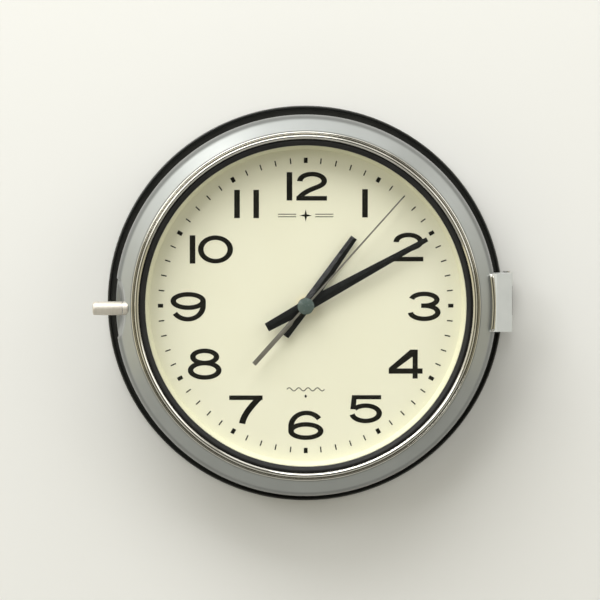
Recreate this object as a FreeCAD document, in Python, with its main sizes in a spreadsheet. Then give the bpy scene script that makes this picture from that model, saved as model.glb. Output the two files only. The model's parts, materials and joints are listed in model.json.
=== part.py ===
"""Ship's deck clock: a bulkhead quartz clock with a hinged, glazed cover.

Local modelling frame: X to the right, Y up, Z forward from the wall, as a person reading the
dial sees it. FACING turns that frame into the part's own one: the wall is the plane Y = 0,
the dial looks along -Y and +Z is up. All lengths are millimetres.
"""
import math
import os

import FreeCAD
import Part
import Sketcher
from FreeCAD import Placement, Rotation, Vector

FACING = Placement(Vector(0, 0, 0), Rotation(Vector(1, 0, 0), 90))
UPRIGHT = Rotation(Vector(1, 0, 0), -90)    # local Z of a turned piece to local +Y
SIDEWAYS = Rotation(Vector(0, 1, 0), 90)    # local Z of a turned piece to local +X
OUT_LEFT = Rotation(Vector(0, 1, 0), -90)   # local Z of a turned piece to local -X
BACKWARD = Rotation(Vector(1, 0, 0), 180)   # local Z of a turned piece to local -Z

# Driving dimensions: alias, value, meaning. Depths are measured forward from the wall.
DIMENSIONS = [
    # wall flange and case
    ("flange_radius", 120, "outer radius of the black wall flange"),
    ("plate_thickness", 1.5, "sheet of the back plate"),
    ("rim_width", 1.5, "rolled rim of the back plate"),
    ("rim_depth", 4, "front of the rolled rim"),
    ("wall_hole_circle", 102, "radius of the circle of wall screw holes"),
    ("wall_hole_radius", 2.5, "clearance for a 4.5 mm wall screw"),
    ("seal_inner_radius", 111.8, "cover seal"),
    ("seal_outer_radius", 113.8, "cover seal"),
    ("seal_height", 2.4, "cover seal, 0.1 mm short of the cover's edge"),
    ("rivet_radius", 1.25, "case rivets"),
    ("rivet_head_radius", 2.5, "case rivets"),
    ("rivet_head_height", 1, "case rivets"),
    ("bracket_rivet_radius", 1, "headless rivets of the hinge bracket"),
    ("bracket_rivet_length", 3.5, "headless rivets of the hinge bracket"),
    # service hatch behind the battery
    ("hatch_width", 72, "hatch plate"),
    ("hatch_height", 53, "hatch plate"),
    ("hatch_level", -29.5, "centre of the hatch below the dial centre"),
    ("hatch_gap", 0.3, "gap round the hatch"),
    ("hatch_land", 6, "width of the pan floor that the hatch lies on"),
    # dial pan, dial and chapter ring
    ("pan_radius", 88, "outside of the dial pan"),
    ("pan_wall", 1.2, "sheet of the dial pan"),
    ("pan_flange_radius", 97, "flange that carries the dial"),
    ("dial_back", 40, "back face of the dial"),
    ("dial_thickness", 1, "dial"),
    ("dial_radius", 96.5, "dial"),
    ("ring_foot_radius", 91.3, "visible edge of the dial, foot of the chapter ring"),
    ("ring_foot_height", 2.5, "foot of the chapter ring"),
    ("ring_shoulder_radius", 94.6, "step that the dial screws press on"),
    ("ring_top_radius", 93.4, "inner edge of the chapter ring below the glass"),
    ("ring_lip", 1, "width of the chapter ring's front edge"),
    ("ring_front", 48, "front of the chapter ring"),
    ("dial_screw_circle", 95.6, "radius of the dial screws' circle"),
    # cover shell
    ("shell_wall", 1.5, "sheet of the cover shell"),
    ("shell_back", 4, "edge of the cover against its seal"),
    ("shell_foot_radius", 113.5, "outer radius of the cover at its edge"),
    ("shoulder_start_radius", 112.5, "outer radius where the shoulder starts"),
    ("shoulder_start", 42, "depth where the shoulder starts"),
    ("shoulder_end_radius", 108.5, "outer radius where the front cone starts"),
    ("shoulder_end", 50.5, "depth where the front cone starts"),
    ("shoulder_bend", 11, "outer radius of the shoulder's bend"),
    ("mouth_outer_radius", 102.5, "front edge of the cone"),
    ("mouth_radius", 101, "mouth of the shell, round the bezel"),
    ("shell_front", 55.5, "front of the shell"),
    ("lip_depth", 1.6, "depth of the mouth's lip"),
    # bezel, glass and their gasket
    ("bezel_skirt_inner", 98.5, "bezel skirt"),
    ("bezel_skirt_outer", 100.9, "bezel skirt"),
    ("bezel_skirt_back", 50, "bezel skirt"),
    ("bezel_bead_radius", 102.4, "outside of the bezel's thin outer bead"),
    ("bezel_bead_front", 56.3, "where the outer bead's round starts"),
    ("bezel_groove_depth", 56.1, "bottom of the groove between the beads"),
    ("bezel_lip_radius", 95.8, "inner edge of the bezel"),
    ("bezel_lip_back", 57, "underside of the bezel's inner lip"),
    ("bezel_lip_front", 58.3, "front of the bezel's inner edge"),
    ("bezel_crown", 2.6, "section radius of the main bead"),
    ("glass_radius", 97, "glass"),
    ("glass_back", 53.2, "glass"),
    ("glass_thickness", 2.5, "glass"),
    ("gasket_inner_radius", 93.8, "visible inner edge of the glass gasket"),
    ("gasket_back", 52, "back of the glass gasket"),
    ("retainer_inner_radius", 94.4, "ring that presses the gasket"),
    ("retainer_back", 48.5, "ring that presses the gasket"),
    ("retainer_screw_circle", 99.7, "radius of the retainer screws' circle"),
    # thumb latch at nine o'clock
    ("latch_level", -1.2, "spindle above the dial centre"),
    ("latch_axis", 51, "depth of the spindle"),
    ("knob_radius", 4, "thumb knob"),
    ("knob_end", 124.6, "outer end of the thumb knob, left of the centre"),
    ("knob_inner_end", 107.3, "inner end of the thumb knob"),
    ("washer_thickness", 0.4, "washer under the knob"),
    ("bush_end", 104, "inner end of the latch bush"),
    ("spindle_radius", 2, "latch spindle"),
    ("spindle_end", 103.6, "inner end of the latch spindle"),
    ("running_gap", 0.05, "radial clearance of every running fit"),
    ("cam_radius", 0.8, "eccentric pin on the spindle's end"),
    ("cam_offset", 1.1, "eccentricity of that pin"),
    ("cam_end", 101.4, "inner end of the eccentric pin"),
    ("lug_outer", 102.5, "outer face of the catch"),
    ("lug_thickness", 1.3, "sheet of the catch"),
    ("lug_width", 10, "width of the catch"),
    ("lug_front", 53.2, "front edge of the catch"),
    ("lug_foot", 11, "length of the catch's foot"),
    ("pocket_half_height", 18, "finger pocket beside the knob"),
    ("pocket_back", 30, "back of the finger pocket"),
    ("pocket_front_reach", 105.5, "pocket floor from the centre plane at the depth below"),
    ("pocket_front", 53, "depth where the pocket floor meets the cone"),
    ("pocket_slope", 0.196, "rise of the pocket floor towards the wall"),
    # hinge at three o'clock
    ("hinge_level", 2, "centre of the hinge above the dial centre"),
    ("hinge_reach", 122, "hinge axis right of the dial centre"),
    ("hinge_depth", 8, "hinge axis forward of the wall"),
    ("knuckle_radius", 3.5, "hinge knuckles"),
    ("hinge_pin_radius", 1.5, "hinge pin"),
    ("hinge_half_height", 17, "hinge block"),
    ("bracket_half_height", 8.8, "middle knuckle"),
    ("knuckle_start", 9, "inner ends of the outer knuckles"),
    ("block_outer", 120.7, "outer face of the hinge block"),
    ("block_back", 12, "back of the hinge block"),
    ("block_front", 52, "front of the hinge block"),
    ("block_edge_reach", 111.8, "flat of the block's front face starts here"),
    ("block_tip_reach", 108.9, "feather edge of the block on the shoulder"),
    ("block_tip_rise", 0.4, "feather edge in front of the shoulder's end"),
    ("block_inner", 100.5, "inner end of the block before the cover's shape is cut away"),
    ("block_slope_start", 48, "depth of that inner end"),
    ("bracket_foot_start", 114.3, "foot of the hinge bracket on the flange"),
    ("bracket_foot_end", 118, "foot of the hinge bracket"),
    ("bracket_foot_front", 6, "front of the bracket's foot"),
    ("bracket_arm_start", 116, "arm from the foot to the middle knuckle"),
    ("bracket_clearance", 0.3, "gap between the bracket's arm and the rolled rim"),
    ("pin_head_radius", 2.2, "heads of the hinge pin"),
    ("pin_head_length", 0.6, "heads of the hinge pin"),
    ("pin_head_gap", 0.2, "gap between a head and its knuckle"),
    # movement frame
    ("frame_half_width", 36, "movement housing"),
    ("frame_top", 46, "movement housing"),
    ("frame_bottom", -49.7, "movement housing"),
    ("frame_back", 9, "movement housing"),
    ("frame_front", 38, "back of the front plate"),
    ("frame_wall", 1.5, "movement housing"),
    ("partition_top", -19.6, "wall between the gears and the battery"),
    ("partition_bottom", -20.8, "wall between the gears and the battery"),
    ("middle_plate_back", 24.5, "middle bearing plate"),
    ("middle_plate_thickness", 1.1, "middle bearing plate"),
    ("post_radius", 3.3, "threaded centre post"),
    ("post_front", 43.3, "threaded centre post"),
    ("nut_radius", 4.8, "round nut on the centre post"),
    # battery
    ("cell_radius", 13.1, "C size cell"),
    ("cell_length", 48.5, "C size cell without its nub"),
    ("cell_level", -34.5, "cell axis below the dial centre"),
    ("cell_depth", 23.7, "cell axis forward of the wall"),
    # gear train
    ("gear_thickness", 1.4, "every wheel"),
    ("arbor_radius", 0.75, "wheel arbors"),
    ("seconds_arbor_radius", 0.6, "seconds arbor"),
    ("cannon_radius", 1.6, "tube of the cannon pinion"),
    ("hour_pipe_radius", 2.6, "pipe of the hour wheel"),
    ("layer_motor", 15.5, "intermediate wheel and rotor pinion"),
    ("layer_seconds", 19, "seconds wheel and intermediate pinion"),
    ("layer_third", 22.5, "third wheel and seconds pinion"),
    ("layer_centre", 26.2, "centre wheel and third pinion"),
    ("layer_motion", 29.7, "motion wheel, cannon and setting pinions"),
    ("layer_hour", 33.2, "hour wheel and motion pinion"),
    # hands
    ("hour_hand_back", 44.2, "hour hand"),
    ("minute_hand_back", 46.8, "minute hand"),
    ("second_hand_back", 50, "second hand"),
    ("hand_edge", 0.4, "thickness of the hands at their edges"),
    ("hand_ridge", 1.4, "thickness of the hands at their ridge"),
    ("second_hand_thickness", 0.5, "second hand"),
    ("boss_radius", 4.95, "boss of the second hand"),
    ("boss_front", 51.7, "boss of the second hand"),
]

TIME_SHOWN = {"hour": 35.2, "minute": 61.2, "second": 41.8}    # degrees clockwise from twelve

document = FreeCAD.newDocument("ships_deck_clock")
sheet = document.addObject("Spreadsheet::Sheet", "dimensions")


class Size:
    """A number together with the spreadsheet expression that gives it."""

    def __init__(self, value, text):
        self.value = value
        self.text = text

    def __add__(self, other):
        other = as_size(other)
        return Size(self.value + other.value, f"({self.text} + {other.text})")

    def __radd__(self, other):
        return as_size(other) + self

    def __sub__(self, other):
        other = as_size(other)
        return Size(self.value - other.value, f"({self.text} - {other.text})")

    def __rsub__(self, other):
        return as_size(other) - self

    def __mul__(self, other):
        other = as_size(other)
        return Size(self.value * other.value, f"({self.text} * {other.text})")

    def __rmul__(self, other):
        return as_size(other) * self

    def __truediv__(self, other):
        other = as_size(other)
        return Size(self.value / other.value, f"({self.text} / {other.text})")

    def __neg__(self):
        return Size(-self.value, f"(-1 * {self.text})")

    @property
    def bound(self):
        return sheet.Name in self.text


def as_size(item):
    """A Size from a plain number, or the Size itself."""
    return item if isinstance(item, Size) else Size(float(item), f"{float(item):.6f}")


def hypotenuse(first, second):
    """Length of the slope whose legs are the two Sizes."""
    text = f"sqrt({first.text} * {first.text} + {second.text} * {second.text})"
    return Size(math.hypot(first.value, second.value), text)


class Dimensions:
    """The spreadsheet's aliases as attributes."""

    def __init__(self, rows):
        for row, (alias, value, meaning) in enumerate(rows, start=1):
            sheet.set(f"A{row}", alias)
            sheet.set(f"B{row}", str(value))
            sheet.set(f"C{row}", meaning)
            sheet.setAlias(f"B{row}", alias)
            setattr(self, alias, Size(float(value), f"{sheet.Name}.{alias}"))


dim = Dimensions(DIMENSIONS)
document.recompute()

subparts = []


# ---------------------------------------------------------------- helpers

def bind(thing, **amounts):
    """Set sizes of an object, each bound to the sheet where it comes from there."""
    for name, amount in amounts.items():
        amount = as_size(amount)
        setattr(thing, name, amount.value)
        if amount.bound:
            thing.setExpression(name, amount.text)


def place(thing, at=(0, 0, 0), turn=None, frame=None):
    """Put an object at a local position, bound to the sheet, in the local frame or in the part's."""
    x, y, z = (as_size(item) for item in at)
    where = Placement(Vector(x.value, y.value, z.value), turn or Rotation())
    axes = {"x": x, "y": y, "z": z}
    if frame is not None:
        where = frame.multiply(where)
        axes = {"x": x, "y": -z, "z": y}
    thing.Placement = where
    for axis, amount in axes.items():
        if amount.bound:
            thing.setExpression(f"Placement.Base.{axis}", amount.text)
    return thing


def node(label, thing, at=(0, 0, 0), turn=None):
    """Register a finished sub-part under its label and stand it in the part's frame."""
    if not thing.Placement.isIdentity():
        thing = group(thing)    # a set of one keeps the primitive's own placement
    place(thing, at, turn, frame=FACING)
    thing.Label = label
    subparts.append(thing)
    return thing


def cylinder(radius, length, at=(0, 0, 0), turn=None):
    thing = document.addObject("Part::Cylinder", "round")
    bind(thing, Radius=radius, Height=length)
    return place(thing, at, turn)


def block(low, high):
    """A box from its low corner to its high corner."""
    low = [as_size(item) for item in low]
    high = [as_size(item) for item in high]
    thing = document.addObject("Part::Box", "block")
    bind(thing, Length=high[0] - low[0], Width=high[1] - low[1], Height=high[2] - low[2])
    return place(thing, low)


def fuse(*things):
    thing = document.addObject("Part::MultiFuse", "joined")
    thing.Shapes = list(things)
    return thing


def cut(base, *tools):
    thing = document.addObject("Part::Cut", "cut")
    thing.Base = base
    thing.Tool = tools[0] if len(tools) == 1 else fuse(*tools)
    return thing


def group(*things):
    """Separate solids of one node, such as a set of screws."""
    thing = document.addObject("Part::Compound", "set")
    thing.Links = list(things)
    return thing


def hollow(radius, bore, length, at=(0, 0, 0), turn=None):
    """A plain tube."""
    tube = cut(cylinder(radius, length), cylinder(bore, length + 2, (0, 0, -1)))
    return place(tube, at, turn)


class Bend:
    """Marks an outline's edge as an arc; positive bulges to the left of its direction."""

    def __init__(self, radius, side):
        self.radius = as_size(radius)
        self.side = side


def arc_between(start, end, bend):
    """The arc of a bend between two points of an outline."""
    chord = end - start
    half = chord.Length / 2
    radius = bend.radius.value
    rise = radius - math.sqrt(max(radius * radius - half * half, 0))
    normal = Vector(-chord.y, chord.x, 0).normalize() * bend.side
    return Part.Arc(start, start + chord * 0.5 + normal * rise, end)


def fix_point(sketch, edge, end, u, v):
    """Tie one end of a sketch's edge to its two coordinates."""
    for kind, amount, axis in (("DistanceX", u, -2), ("DistanceY", v, -1)):
        if amount.value == 0 and not amount.bound:
            sketch.addConstraint(Sketcher.Constraint("PointOnObject", edge, end, axis))
            continue
        index = sketch.addConstraint(
            Sketcher.Constraint(kind, -1, 1, edge, end, amount.value)
        )
        if amount.bound:
            sketch.setExpression(f"Constraints[{index}]", amount.text)


def draw(sketch, outline):
    """Draw a closed outline of points and bends, every point tied to its dimensions."""
    corners = []
    bends = {}
    for item in outline:
        if isinstance(item, Bend):
            bends[len(corners) - 1] = item
        else:
            corners.append((as_size(item[0]), as_size(item[1])))
    places = [Vector(u.value, v.value, 0) for u, v in corners]
    edges = []
    for index, start in enumerate(places):
        end = places[(index + 1) % len(places)]
        bend = bends.get(index)
        curve = arc_between(start, end, bend) if bend else Part.LineSegment(start, end)
        edge = sketch.addGeometry(curve, False)
        begins_at_first = sketch.getPoint(edge, 1).distanceToPoint(start) < 1e-6
        edges.append((edge, 1 if begins_at_first else 2, 2 if begins_at_first else 1))
        if bend:
            radius = sketch.addConstraint(
                Sketcher.Constraint("Radius", edge, bend.radius.value)
            )
            if bend.radius.bound:
                sketch.setExpression(f"Constraints[{radius}]", bend.radius.text)
    for index, (edge, first, last) in enumerate(edges):
        following = edges[(index + 1) % len(edges)]
        sketch.addConstraint(
            Sketcher.Constraint("Coincident", edge, last, following[0], following[1])
        )
        fix_point(sketch, edge, first, *corners[index])


def sketch_on(body, plane, outlines, offset=0):
    """A sketch of closed outlines on one of a body's own origin planes."""
    sketch = body.newObject("Sketcher::SketchObject", body.Name + "_sketch")
    support = next(item for item in body.Origin.OriginFeatures if item.Role == plane)
    sketch.AttachmentSupport = [(support, "")]
    sketch.MapMode = "FlatFace"
    offset = as_size(offset)
    sketch.AttachmentOffset = Placement(Vector(0, 0, offset.value), Rotation())
    if offset.bound:
        sketch.setExpression("AttachmentOffset.Base.z", offset.text)
    for outline in outlines:
        draw(sketch, outline)
    return sketch


def turned(name, outline):
    """A body turned about Z from an outline of (radius, depth) points."""
    body = document.addObject("PartDesign::Body", name)
    sketch = sketch_on(body, "XZ_Plane", [outline])
    feature = body.newObject("PartDesign::Revolution", name + "_turn")
    feature.Profile = sketch
    feature.ReferenceAxis = (sketch, ["V_Axis"])
    feature.Angle = 360
    sketch.Visibility = False
    return body


def padded(name, outlines, back, thickness):
    """A flat body of closed (x, y) outlines, from its back depth forward."""
    body = document.addObject("PartDesign::Body", name)
    sketch = sketch_on(body, "XY_Plane", outlines, back)
    feature = body.newObject("PartDesign::Pad", name + "_pad")
    feature.Profile = sketch
    bind(feature, Length=thickness)
    return body


def profiled(name, outline, half_width, level=0):
    """A body with an (x, depth) outline, as wide as twice half_width about a level of y."""
    body = document.addObject("PartDesign::Body", name)
    sketch = sketch_on(body, "XZ_Plane", [outline], -as_size(level))
    feature = body.newObject("PartDesign::Pad", name + "_pad")
    feature.Profile = sketch
    feature.Midplane = True
    bind(feature, Length=as_size(half_width) * 2)
    return body


def screw(head_radius, head_height, shank_radius, shank_length, at, turn=None):
    """A slotted cheese-head screw; the head stands on its local XY plane, the shank runs to -Z."""
    slot_half_width = 0.25
    slot_depth = 0.45 * head_height
    reach = head_radius + 1
    head = cylinder(head_radius, head_height)
    shank = cylinder(shank_radius, shank_length, (0, 0, -as_size(shank_length)))
    groove = block(
        (-reach, -slot_half_width, head_height - slot_depth),
        (reach, slot_half_width, head_height + 1),
    )
    return place(cut(fuse(head, shank), groove), at, turn)


def around(radius, degrees, depth):
    """A local position on a circle about the dial's centre."""
    angle = math.radians(degrees)
    radius = as_size(radius)
    return (radius * math.cos(angle), radius * math.sin(angle), depth)


# ---------------------------------------------------------------- case

RIVET_ANGLES = (45, 135, 225, 315)
RIVET_CIRCLE = 80
WALL_HOLE_ANGLES = (90, 210, 330)
LUG_RIVET_REACH = -96
LUG_RIVET_SPREAD = 2.8
BRACKET_RIVET_REACH = 116.2
BRACKET_RIVET_SPREAD = 6
DIAL_SCREW_ANGLES = (90, 210, 330)


def hatch_opening(margin, back, front):
    """The block of space inside the hatch's outline, with a margin all round."""
    half_width = dim.hatch_width / 2 + margin
    half_height = dim.hatch_height / 2 + margin
    return block(
        (-half_width, dim.hatch_level - half_height, back),
        (half_width, dim.hatch_level + half_height, front),
    )


def rivet_places():
    """Local positions and top depths of the rivets through the back plate."""
    pan = [around(RIVET_CIRCLE, angle, 0) for angle in RIVET_ANGLES]
    lug = [(LUG_RIVET_REACH, dim.latch_level + side * LUG_RIVET_SPREAD, 0) for side in (-1, 1)]
    bracket = [
        (BRACKET_RIVET_REACH, dim.hinge_level + side * BRACKET_RIVET_SPREAD, 0)
        for side in (-1, 1)
    ]
    return pan, lug, bracket


def back_plate():
    thick = dim.plate_thickness
    inner = dim.flange_radius - dim.rim_width
    disc = turned("plate_disc", [
        (0, 0), (dim.flange_radius, 0), (dim.flange_radius, dim.rim_depth),
        (inner, dim.rim_depth), (inner, thick), (0, thick),
    ])
    holes = [
        cylinder(dim.wall_hole_radius, thick + 2, around(dim.wall_hole_circle, angle, -1))
        for angle in WALL_HOLE_ANGLES
    ]
    pan, lug, bracket = rivet_places()
    for x, y, _ in pan + lug:
        holes.append(cylinder(dim.rivet_radius, thick + 2, (x, y, -1)))
    for x, y, _ in bracket:
        holes.append(cylinder(dim.bracket_rivet_radius, thick + 2, (x, y, -1)))
    holes.append(hatch_opening(dim.hatch_gap, -1, thick + 1))
    node("back_plate", cut(disc, *holes))


def cover_seal():
    back = dim.plate_thickness
    node("cover_seal", turned("cover_seal", [
        (dim.seal_inner_radius, back), (dim.seal_outer_radius, back),
        (dim.seal_outer_radius, back + dim.seal_height),
        (dim.seal_inner_radius, back + dim.seal_height),
    ]))


def dial_pan():
    back = dim.plate_thickness
    floor = back + dim.pan_wall
    inner = dim.pan_radius - dim.pan_wall
    flange_back = dim.dial_back - dim.pan_wall
    cup = turned("pan_cup", [
        (0, back), (dim.pan_radius, back), (dim.pan_radius, flange_back),
        (dim.pan_flange_radius, flange_back), (dim.pan_flange_radius, dim.dial_back),
        (inner, dim.dial_back), (inner, floor), (0, floor),
    ])
    tools = [hatch_opening(-dim.hatch_land, back - 1, floor + 1)]
    for x, y, _ in rivet_places()[0]:
        tools.append(cylinder(dim.rivet_radius, 6, (x, y, 0)))
    for x, y in hatch_screw_places():
        tools.append(cylinder(HATCH_SCREW_RADIUS, 6, (x, y, 0)))
    for angle in DIAL_SCREW_ANGLES:
        spot = around(dim.dial_screw_circle, angle, DIAL_SCREW_START)
        tools.append(cylinder(DIAL_SCREW_RADIUS, DIAL_SCREW_LENGTH, spot))
    node("dial_pan", cut(cup, *tools))


def case_rivets():
    """Rivets that hold the pan, the catch and the hinge bracket on the back plate."""
    pan, lug, bracket = rivet_places()
    rivets = []
    for places, top in ((pan, dim.plate_thickness + dim.pan_wall),
                        (lug, dim.plate_thickness + dim.lug_thickness)):
        for x, y, _ in places:
            shank = cylinder(dim.rivet_radius, top, (x, y, 0))
            head = cylinder(dim.rivet_head_radius, dim.rivet_head_height, (x, y, top))
            rivets.append(fuse(shank, head))
    for x, y, _ in bracket:
        rivets.append(cylinder(dim.bracket_rivet_radius, dim.bracket_rivet_length, (x, y, 0)))
    node("case_rivets", group(*rivets))


HATCH_SCREW_RADIUS = 1.0
HATCH_SCREW_LENGTH = 3
HATCH_HEAD_RADIUS = 2
HATCH_HEAD_DEPTH = 1
HATCH_SCREW_INSET = 3           # from the hatch's edges to its screws


def hatch_screw_places():
    across = dim.hatch_width / 2 - HATCH_SCREW_INSET
    along = dim.hatch_height / 2 - HATCH_SCREW_INSET
    return [
        (side * across, dim.hatch_level + rise * along)
        for side in (-1, 1) for rise in (-1, 1)
    ]


def battery_hatch():
    thick = dim.plate_thickness
    plate = hatch_opening(0, 0, thick)
    tools = []
    screws = []
    for x, y in hatch_screw_places():
        tools.append(cylinder(HATCH_HEAD_RADIUS, HATCH_HEAD_DEPTH, (x, y, 0)))
        tools.append(cylinder(HATCH_SCREW_RADIUS, thick + 2, (x, y, 0)))
        screws.append(screw(
            HATCH_HEAD_RADIUS, HATCH_HEAD_DEPTH, HATCH_SCREW_RADIUS, HATCH_SCREW_LENGTH,
            (x, y, HATCH_HEAD_DEPTH), BACKWARD
        ))
    node("battery_hatch", cut(plate, *tools))
    node("hatch_screws", group(*screws))


CATCH_PLAY = 0.4                # between the eccentric pin and the catch's slot


def catch():
    """The upright catch; its slot opens forward below the lip that the eccentric pin turns behind."""
    outer = -dim.lug_outer
    inner = outer + dim.lug_thickness
    floor = dim.plate_thickness
    half = dim.lug_width / 2
    angle_sheet = profiled("catch_sheet", [
        (outer, floor), (outer + dim.lug_foot, floor),
        (outer + dim.lug_foot, floor + dim.lug_thickness), (inner, floor + dim.lug_thickness),
        (inner, dim.lug_front), (outer, dim.lug_front),
    ], half, dim.latch_level)
    reach = dim.cam_radius + CATCH_PLAY
    low = dim.latch_level - dim.cam_offset - reach
    middle = dim.latch_level - dim.cam_offset + reach
    high = dim.latch_level + dim.cam_offset + reach
    slot_back = dim.latch_axis - dim.cam_offset - reach
    slot_front = dim.latch_axis + reach
    way_in = block((outer - 1, low, slot_back), (inner + 1, middle, dim.lug_front + 1))
    seat = block((outer - 1, low, slot_back), (inner + 1, high, slot_front))
    tools = [way_in, seat]
    for x, y, _ in rivet_places()[1]:
        tools.append(cylinder(dim.rivet_radius, 4, (x, y, 0)))
    node("latch_catch", cut(angle_sheet, *tools))


# ---------------------------------------------------------------- dial

DIAL_SCREW_RADIUS = 0.5
DIAL_SCREW_LENGTH = 5
DIAL_HEAD_RADIUS = 0.85
DIAL_HEAD_HEIGHT = 0.7
DIAL_SCREW_START = 37           # depth where the screw holes start
CENTRE_HOLE_GAP = 0.1           # round the centre post


def dial_and_ring():
    back = dim.dial_back
    front = back + dim.dial_thickness
    centre_hole = dim.post_radius + CENTRE_HOLE_GAP
    disc = turned("dial_disc", [
        (centre_hole, back), (dim.dial_radius, back), (dim.dial_radius, front),
        (centre_hole, front),
    ])
    step = front + dim.ring_foot_height
    ring = turned("ring_profile", [
        (dim.ring_foot_radius, front), (dim.dial_radius, front), (dim.dial_radius, step),
        (dim.ring_shoulder_radius, step), (dim.ring_top_radius + dim.ring_lip, dim.ring_front),
        (dim.ring_top_radius, dim.ring_front),
    ])
    dial_holes = []
    ring_holes = []
    screws = []
    for angle in DIAL_SCREW_ANGLES:
        spot = around(dim.dial_screw_circle, angle, DIAL_SCREW_START)
        dial_holes.append(cylinder(DIAL_SCREW_RADIUS, DIAL_SCREW_LENGTH, spot))
        ring_holes.append(cylinder(DIAL_SCREW_RADIUS, 2 * DIAL_SCREW_LENGTH, spot))
        head = around(dim.dial_screw_circle, angle, step)
        screws.append(screw(
            DIAL_HEAD_RADIUS, DIAL_HEAD_HEIGHT, DIAL_SCREW_RADIUS, DIAL_SCREW_LENGTH, head
        ))
    node("dial", cut(disc, *dial_holes))
    node("chapter_ring", cut(ring, *ring_holes))
    node("dial_screws", group(*screws))


# ---------------------------------------------------------------- cover

HINGE_SCREW_DEPTHS = (20, 36)
HINGE_SCREW_SPREAD = 11
HINGE_SCREW_RADIUS = 1.5
RETAINER_SCREW_ANGLES = (30, 90, 150, 210, 270, 330)
RETAINER_SCREW_RADIUS = 0.7
RETAINER_SCREW_LENGTH = 4
RETAINER_HEAD_RADIUS = 1.1
RETAINER_HEAD_HEIGHT = 0.9
RETAINER_GAP = 0.1              # between the retainer's spigot and the bezel's skirt
BEAD_ROUND = 0.8                # section radius of the bezel's thin outer bead
GROOVE_SLOPE = 0.4              # from the skirt's line to the bottom of the groove
CROWN_START = 0.3               # from the bottom of the groove to the main bead
BEYOND = 130                    # past the cover's side, for cutting tools
POCKET_TOOL_FRONT = 60          # past the cover's front, for cutting tools


def cover_outside():
    """The cover's outer shape, closed by a plane at its edge and at its mouth."""
    return [
        (0, dim.shell_back), (dim.shell_foot_radius, dim.shell_back),
        (dim.shoulder_start_radius, dim.shoulder_start), Bend(dim.shoulder_bend, -1),
        (dim.shoulder_end_radius, dim.shoulder_end),
        (dim.mouth_outer_radius, dim.shell_front), (0, dim.shell_front),
    ]


def cover_inside():
    """The space inside the cover's sheet, open at the edge and at the mouth."""
    wall = dim.shell_wall
    across = dim.shoulder_end_radius - dim.mouth_outer_radius
    forward = dim.shell_front - dim.shoulder_end
    slope = hypotenuse(across, forward)
    end_radius = dim.shoulder_end_radius - wall * forward / slope
    end_depth = dim.shoulder_end - wall * across / slope
    lip_back = dim.shell_front - dim.lip_depth
    lip_radius = end_radius - (lip_back - end_depth) * across / forward
    return [
        (0, 0), (dim.shell_foot_radius - wall, 0),
        (dim.shell_foot_radius - wall, dim.shell_back),
        (dim.shoulder_start_radius - wall, dim.shoulder_start),
        Bend(dim.shoulder_bend - wall, -1),
        (end_radius, end_depth), (lip_radius, lip_back), (dim.mouth_radius, lip_back),
        (dim.mouth_radius, dim.shell_front + 2), (0, dim.shell_front + 2),
    ]


def finger_pocket(name, margin):
    """The wedge of space beside the knob, grown by a margin for the sheet's inner side."""
    back = dim.pocket_back - margin
    front = POCKET_TOOL_FRONT
    floor_back = -dim.pocket_front_reach - (dim.pocket_front - back) * dim.pocket_slope + margin
    floor_front = -dim.pocket_front_reach - (dim.pocket_front - front) * dim.pocket_slope + margin
    return profiled(name, [
        (-BEYOND, back), (floor_back, back), (floor_front, front), (-BEYOND, front),
    ], dim.pocket_half_height + margin, dim.latch_level)


def hinge_screw_places():
    return [
        (dim.hinge_level + side * HINGE_SCREW_SPREAD, depth)
        for side in (-1, 1) for depth in HINGE_SCREW_DEPTHS
    ]


def cover_shell():
    outside = cut(turned("shell_outside", cover_outside()), finger_pocket("pocket_outer", 0))
    inside = cut(
        turned("shell_inside", cover_inside()), finger_pocket("pocket_inner", dim.shell_wall)
    )
    knob_way = 12
    screw_way = 14
    tools = [inside]
    tools.append(cylinder(
        dim.knob_radius, knob_way, (-dim.shoulder_start_radius, dim.latch_level, dim.latch_axis),
        SIDEWAYS
    ))
    for y, depth in hinge_screw_places():
        start = (dim.mouth_outer_radius, y, depth)
        tools.append(cylinder(HINGE_SCREW_RADIUS, screw_way, start, SIDEWAYS))
    node("cover_shell", cut(outside, *tools))


def bezel():
    lip = dim.bezel_lip_radius
    seat = dim.shell_front
    round_start = dim.bezel_bead_front
    groove = dim.bezel_skirt_outer - GROOVE_SLOPE
    ring = turned("bezel_profile", [
        (dim.bezel_skirt_inner, dim.bezel_skirt_back),
        (dim.bezel_skirt_outer, dim.bezel_skirt_back),
        (dim.bezel_skirt_outer, seat), (dim.bezel_bead_radius, seat),
        (dim.bezel_bead_radius, round_start), Bend(BEAD_ROUND, -1),
        (dim.bezel_skirt_outer, round_start), (groove, dim.bezel_groove_depth),
        (groove - CROWN_START, round_start), Bend(dim.bezel_crown, -1),
        (lip, dim.bezel_lip_front), (lip, dim.bezel_lip_back),
        (dim.bezel_skirt_inner, dim.bezel_lip_back),
    ])
    holes = [
        cylinder(RETAINER_SCREW_RADIUS, RETAINER_SCREW_LENGTH,
                 around(dim.retainer_screw_circle, angle, dim.bezel_skirt_back - 1))
        for angle in RETAINER_SCREW_ANGLES
    ]
    node("bezel", cut(ring, *holes))


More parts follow.
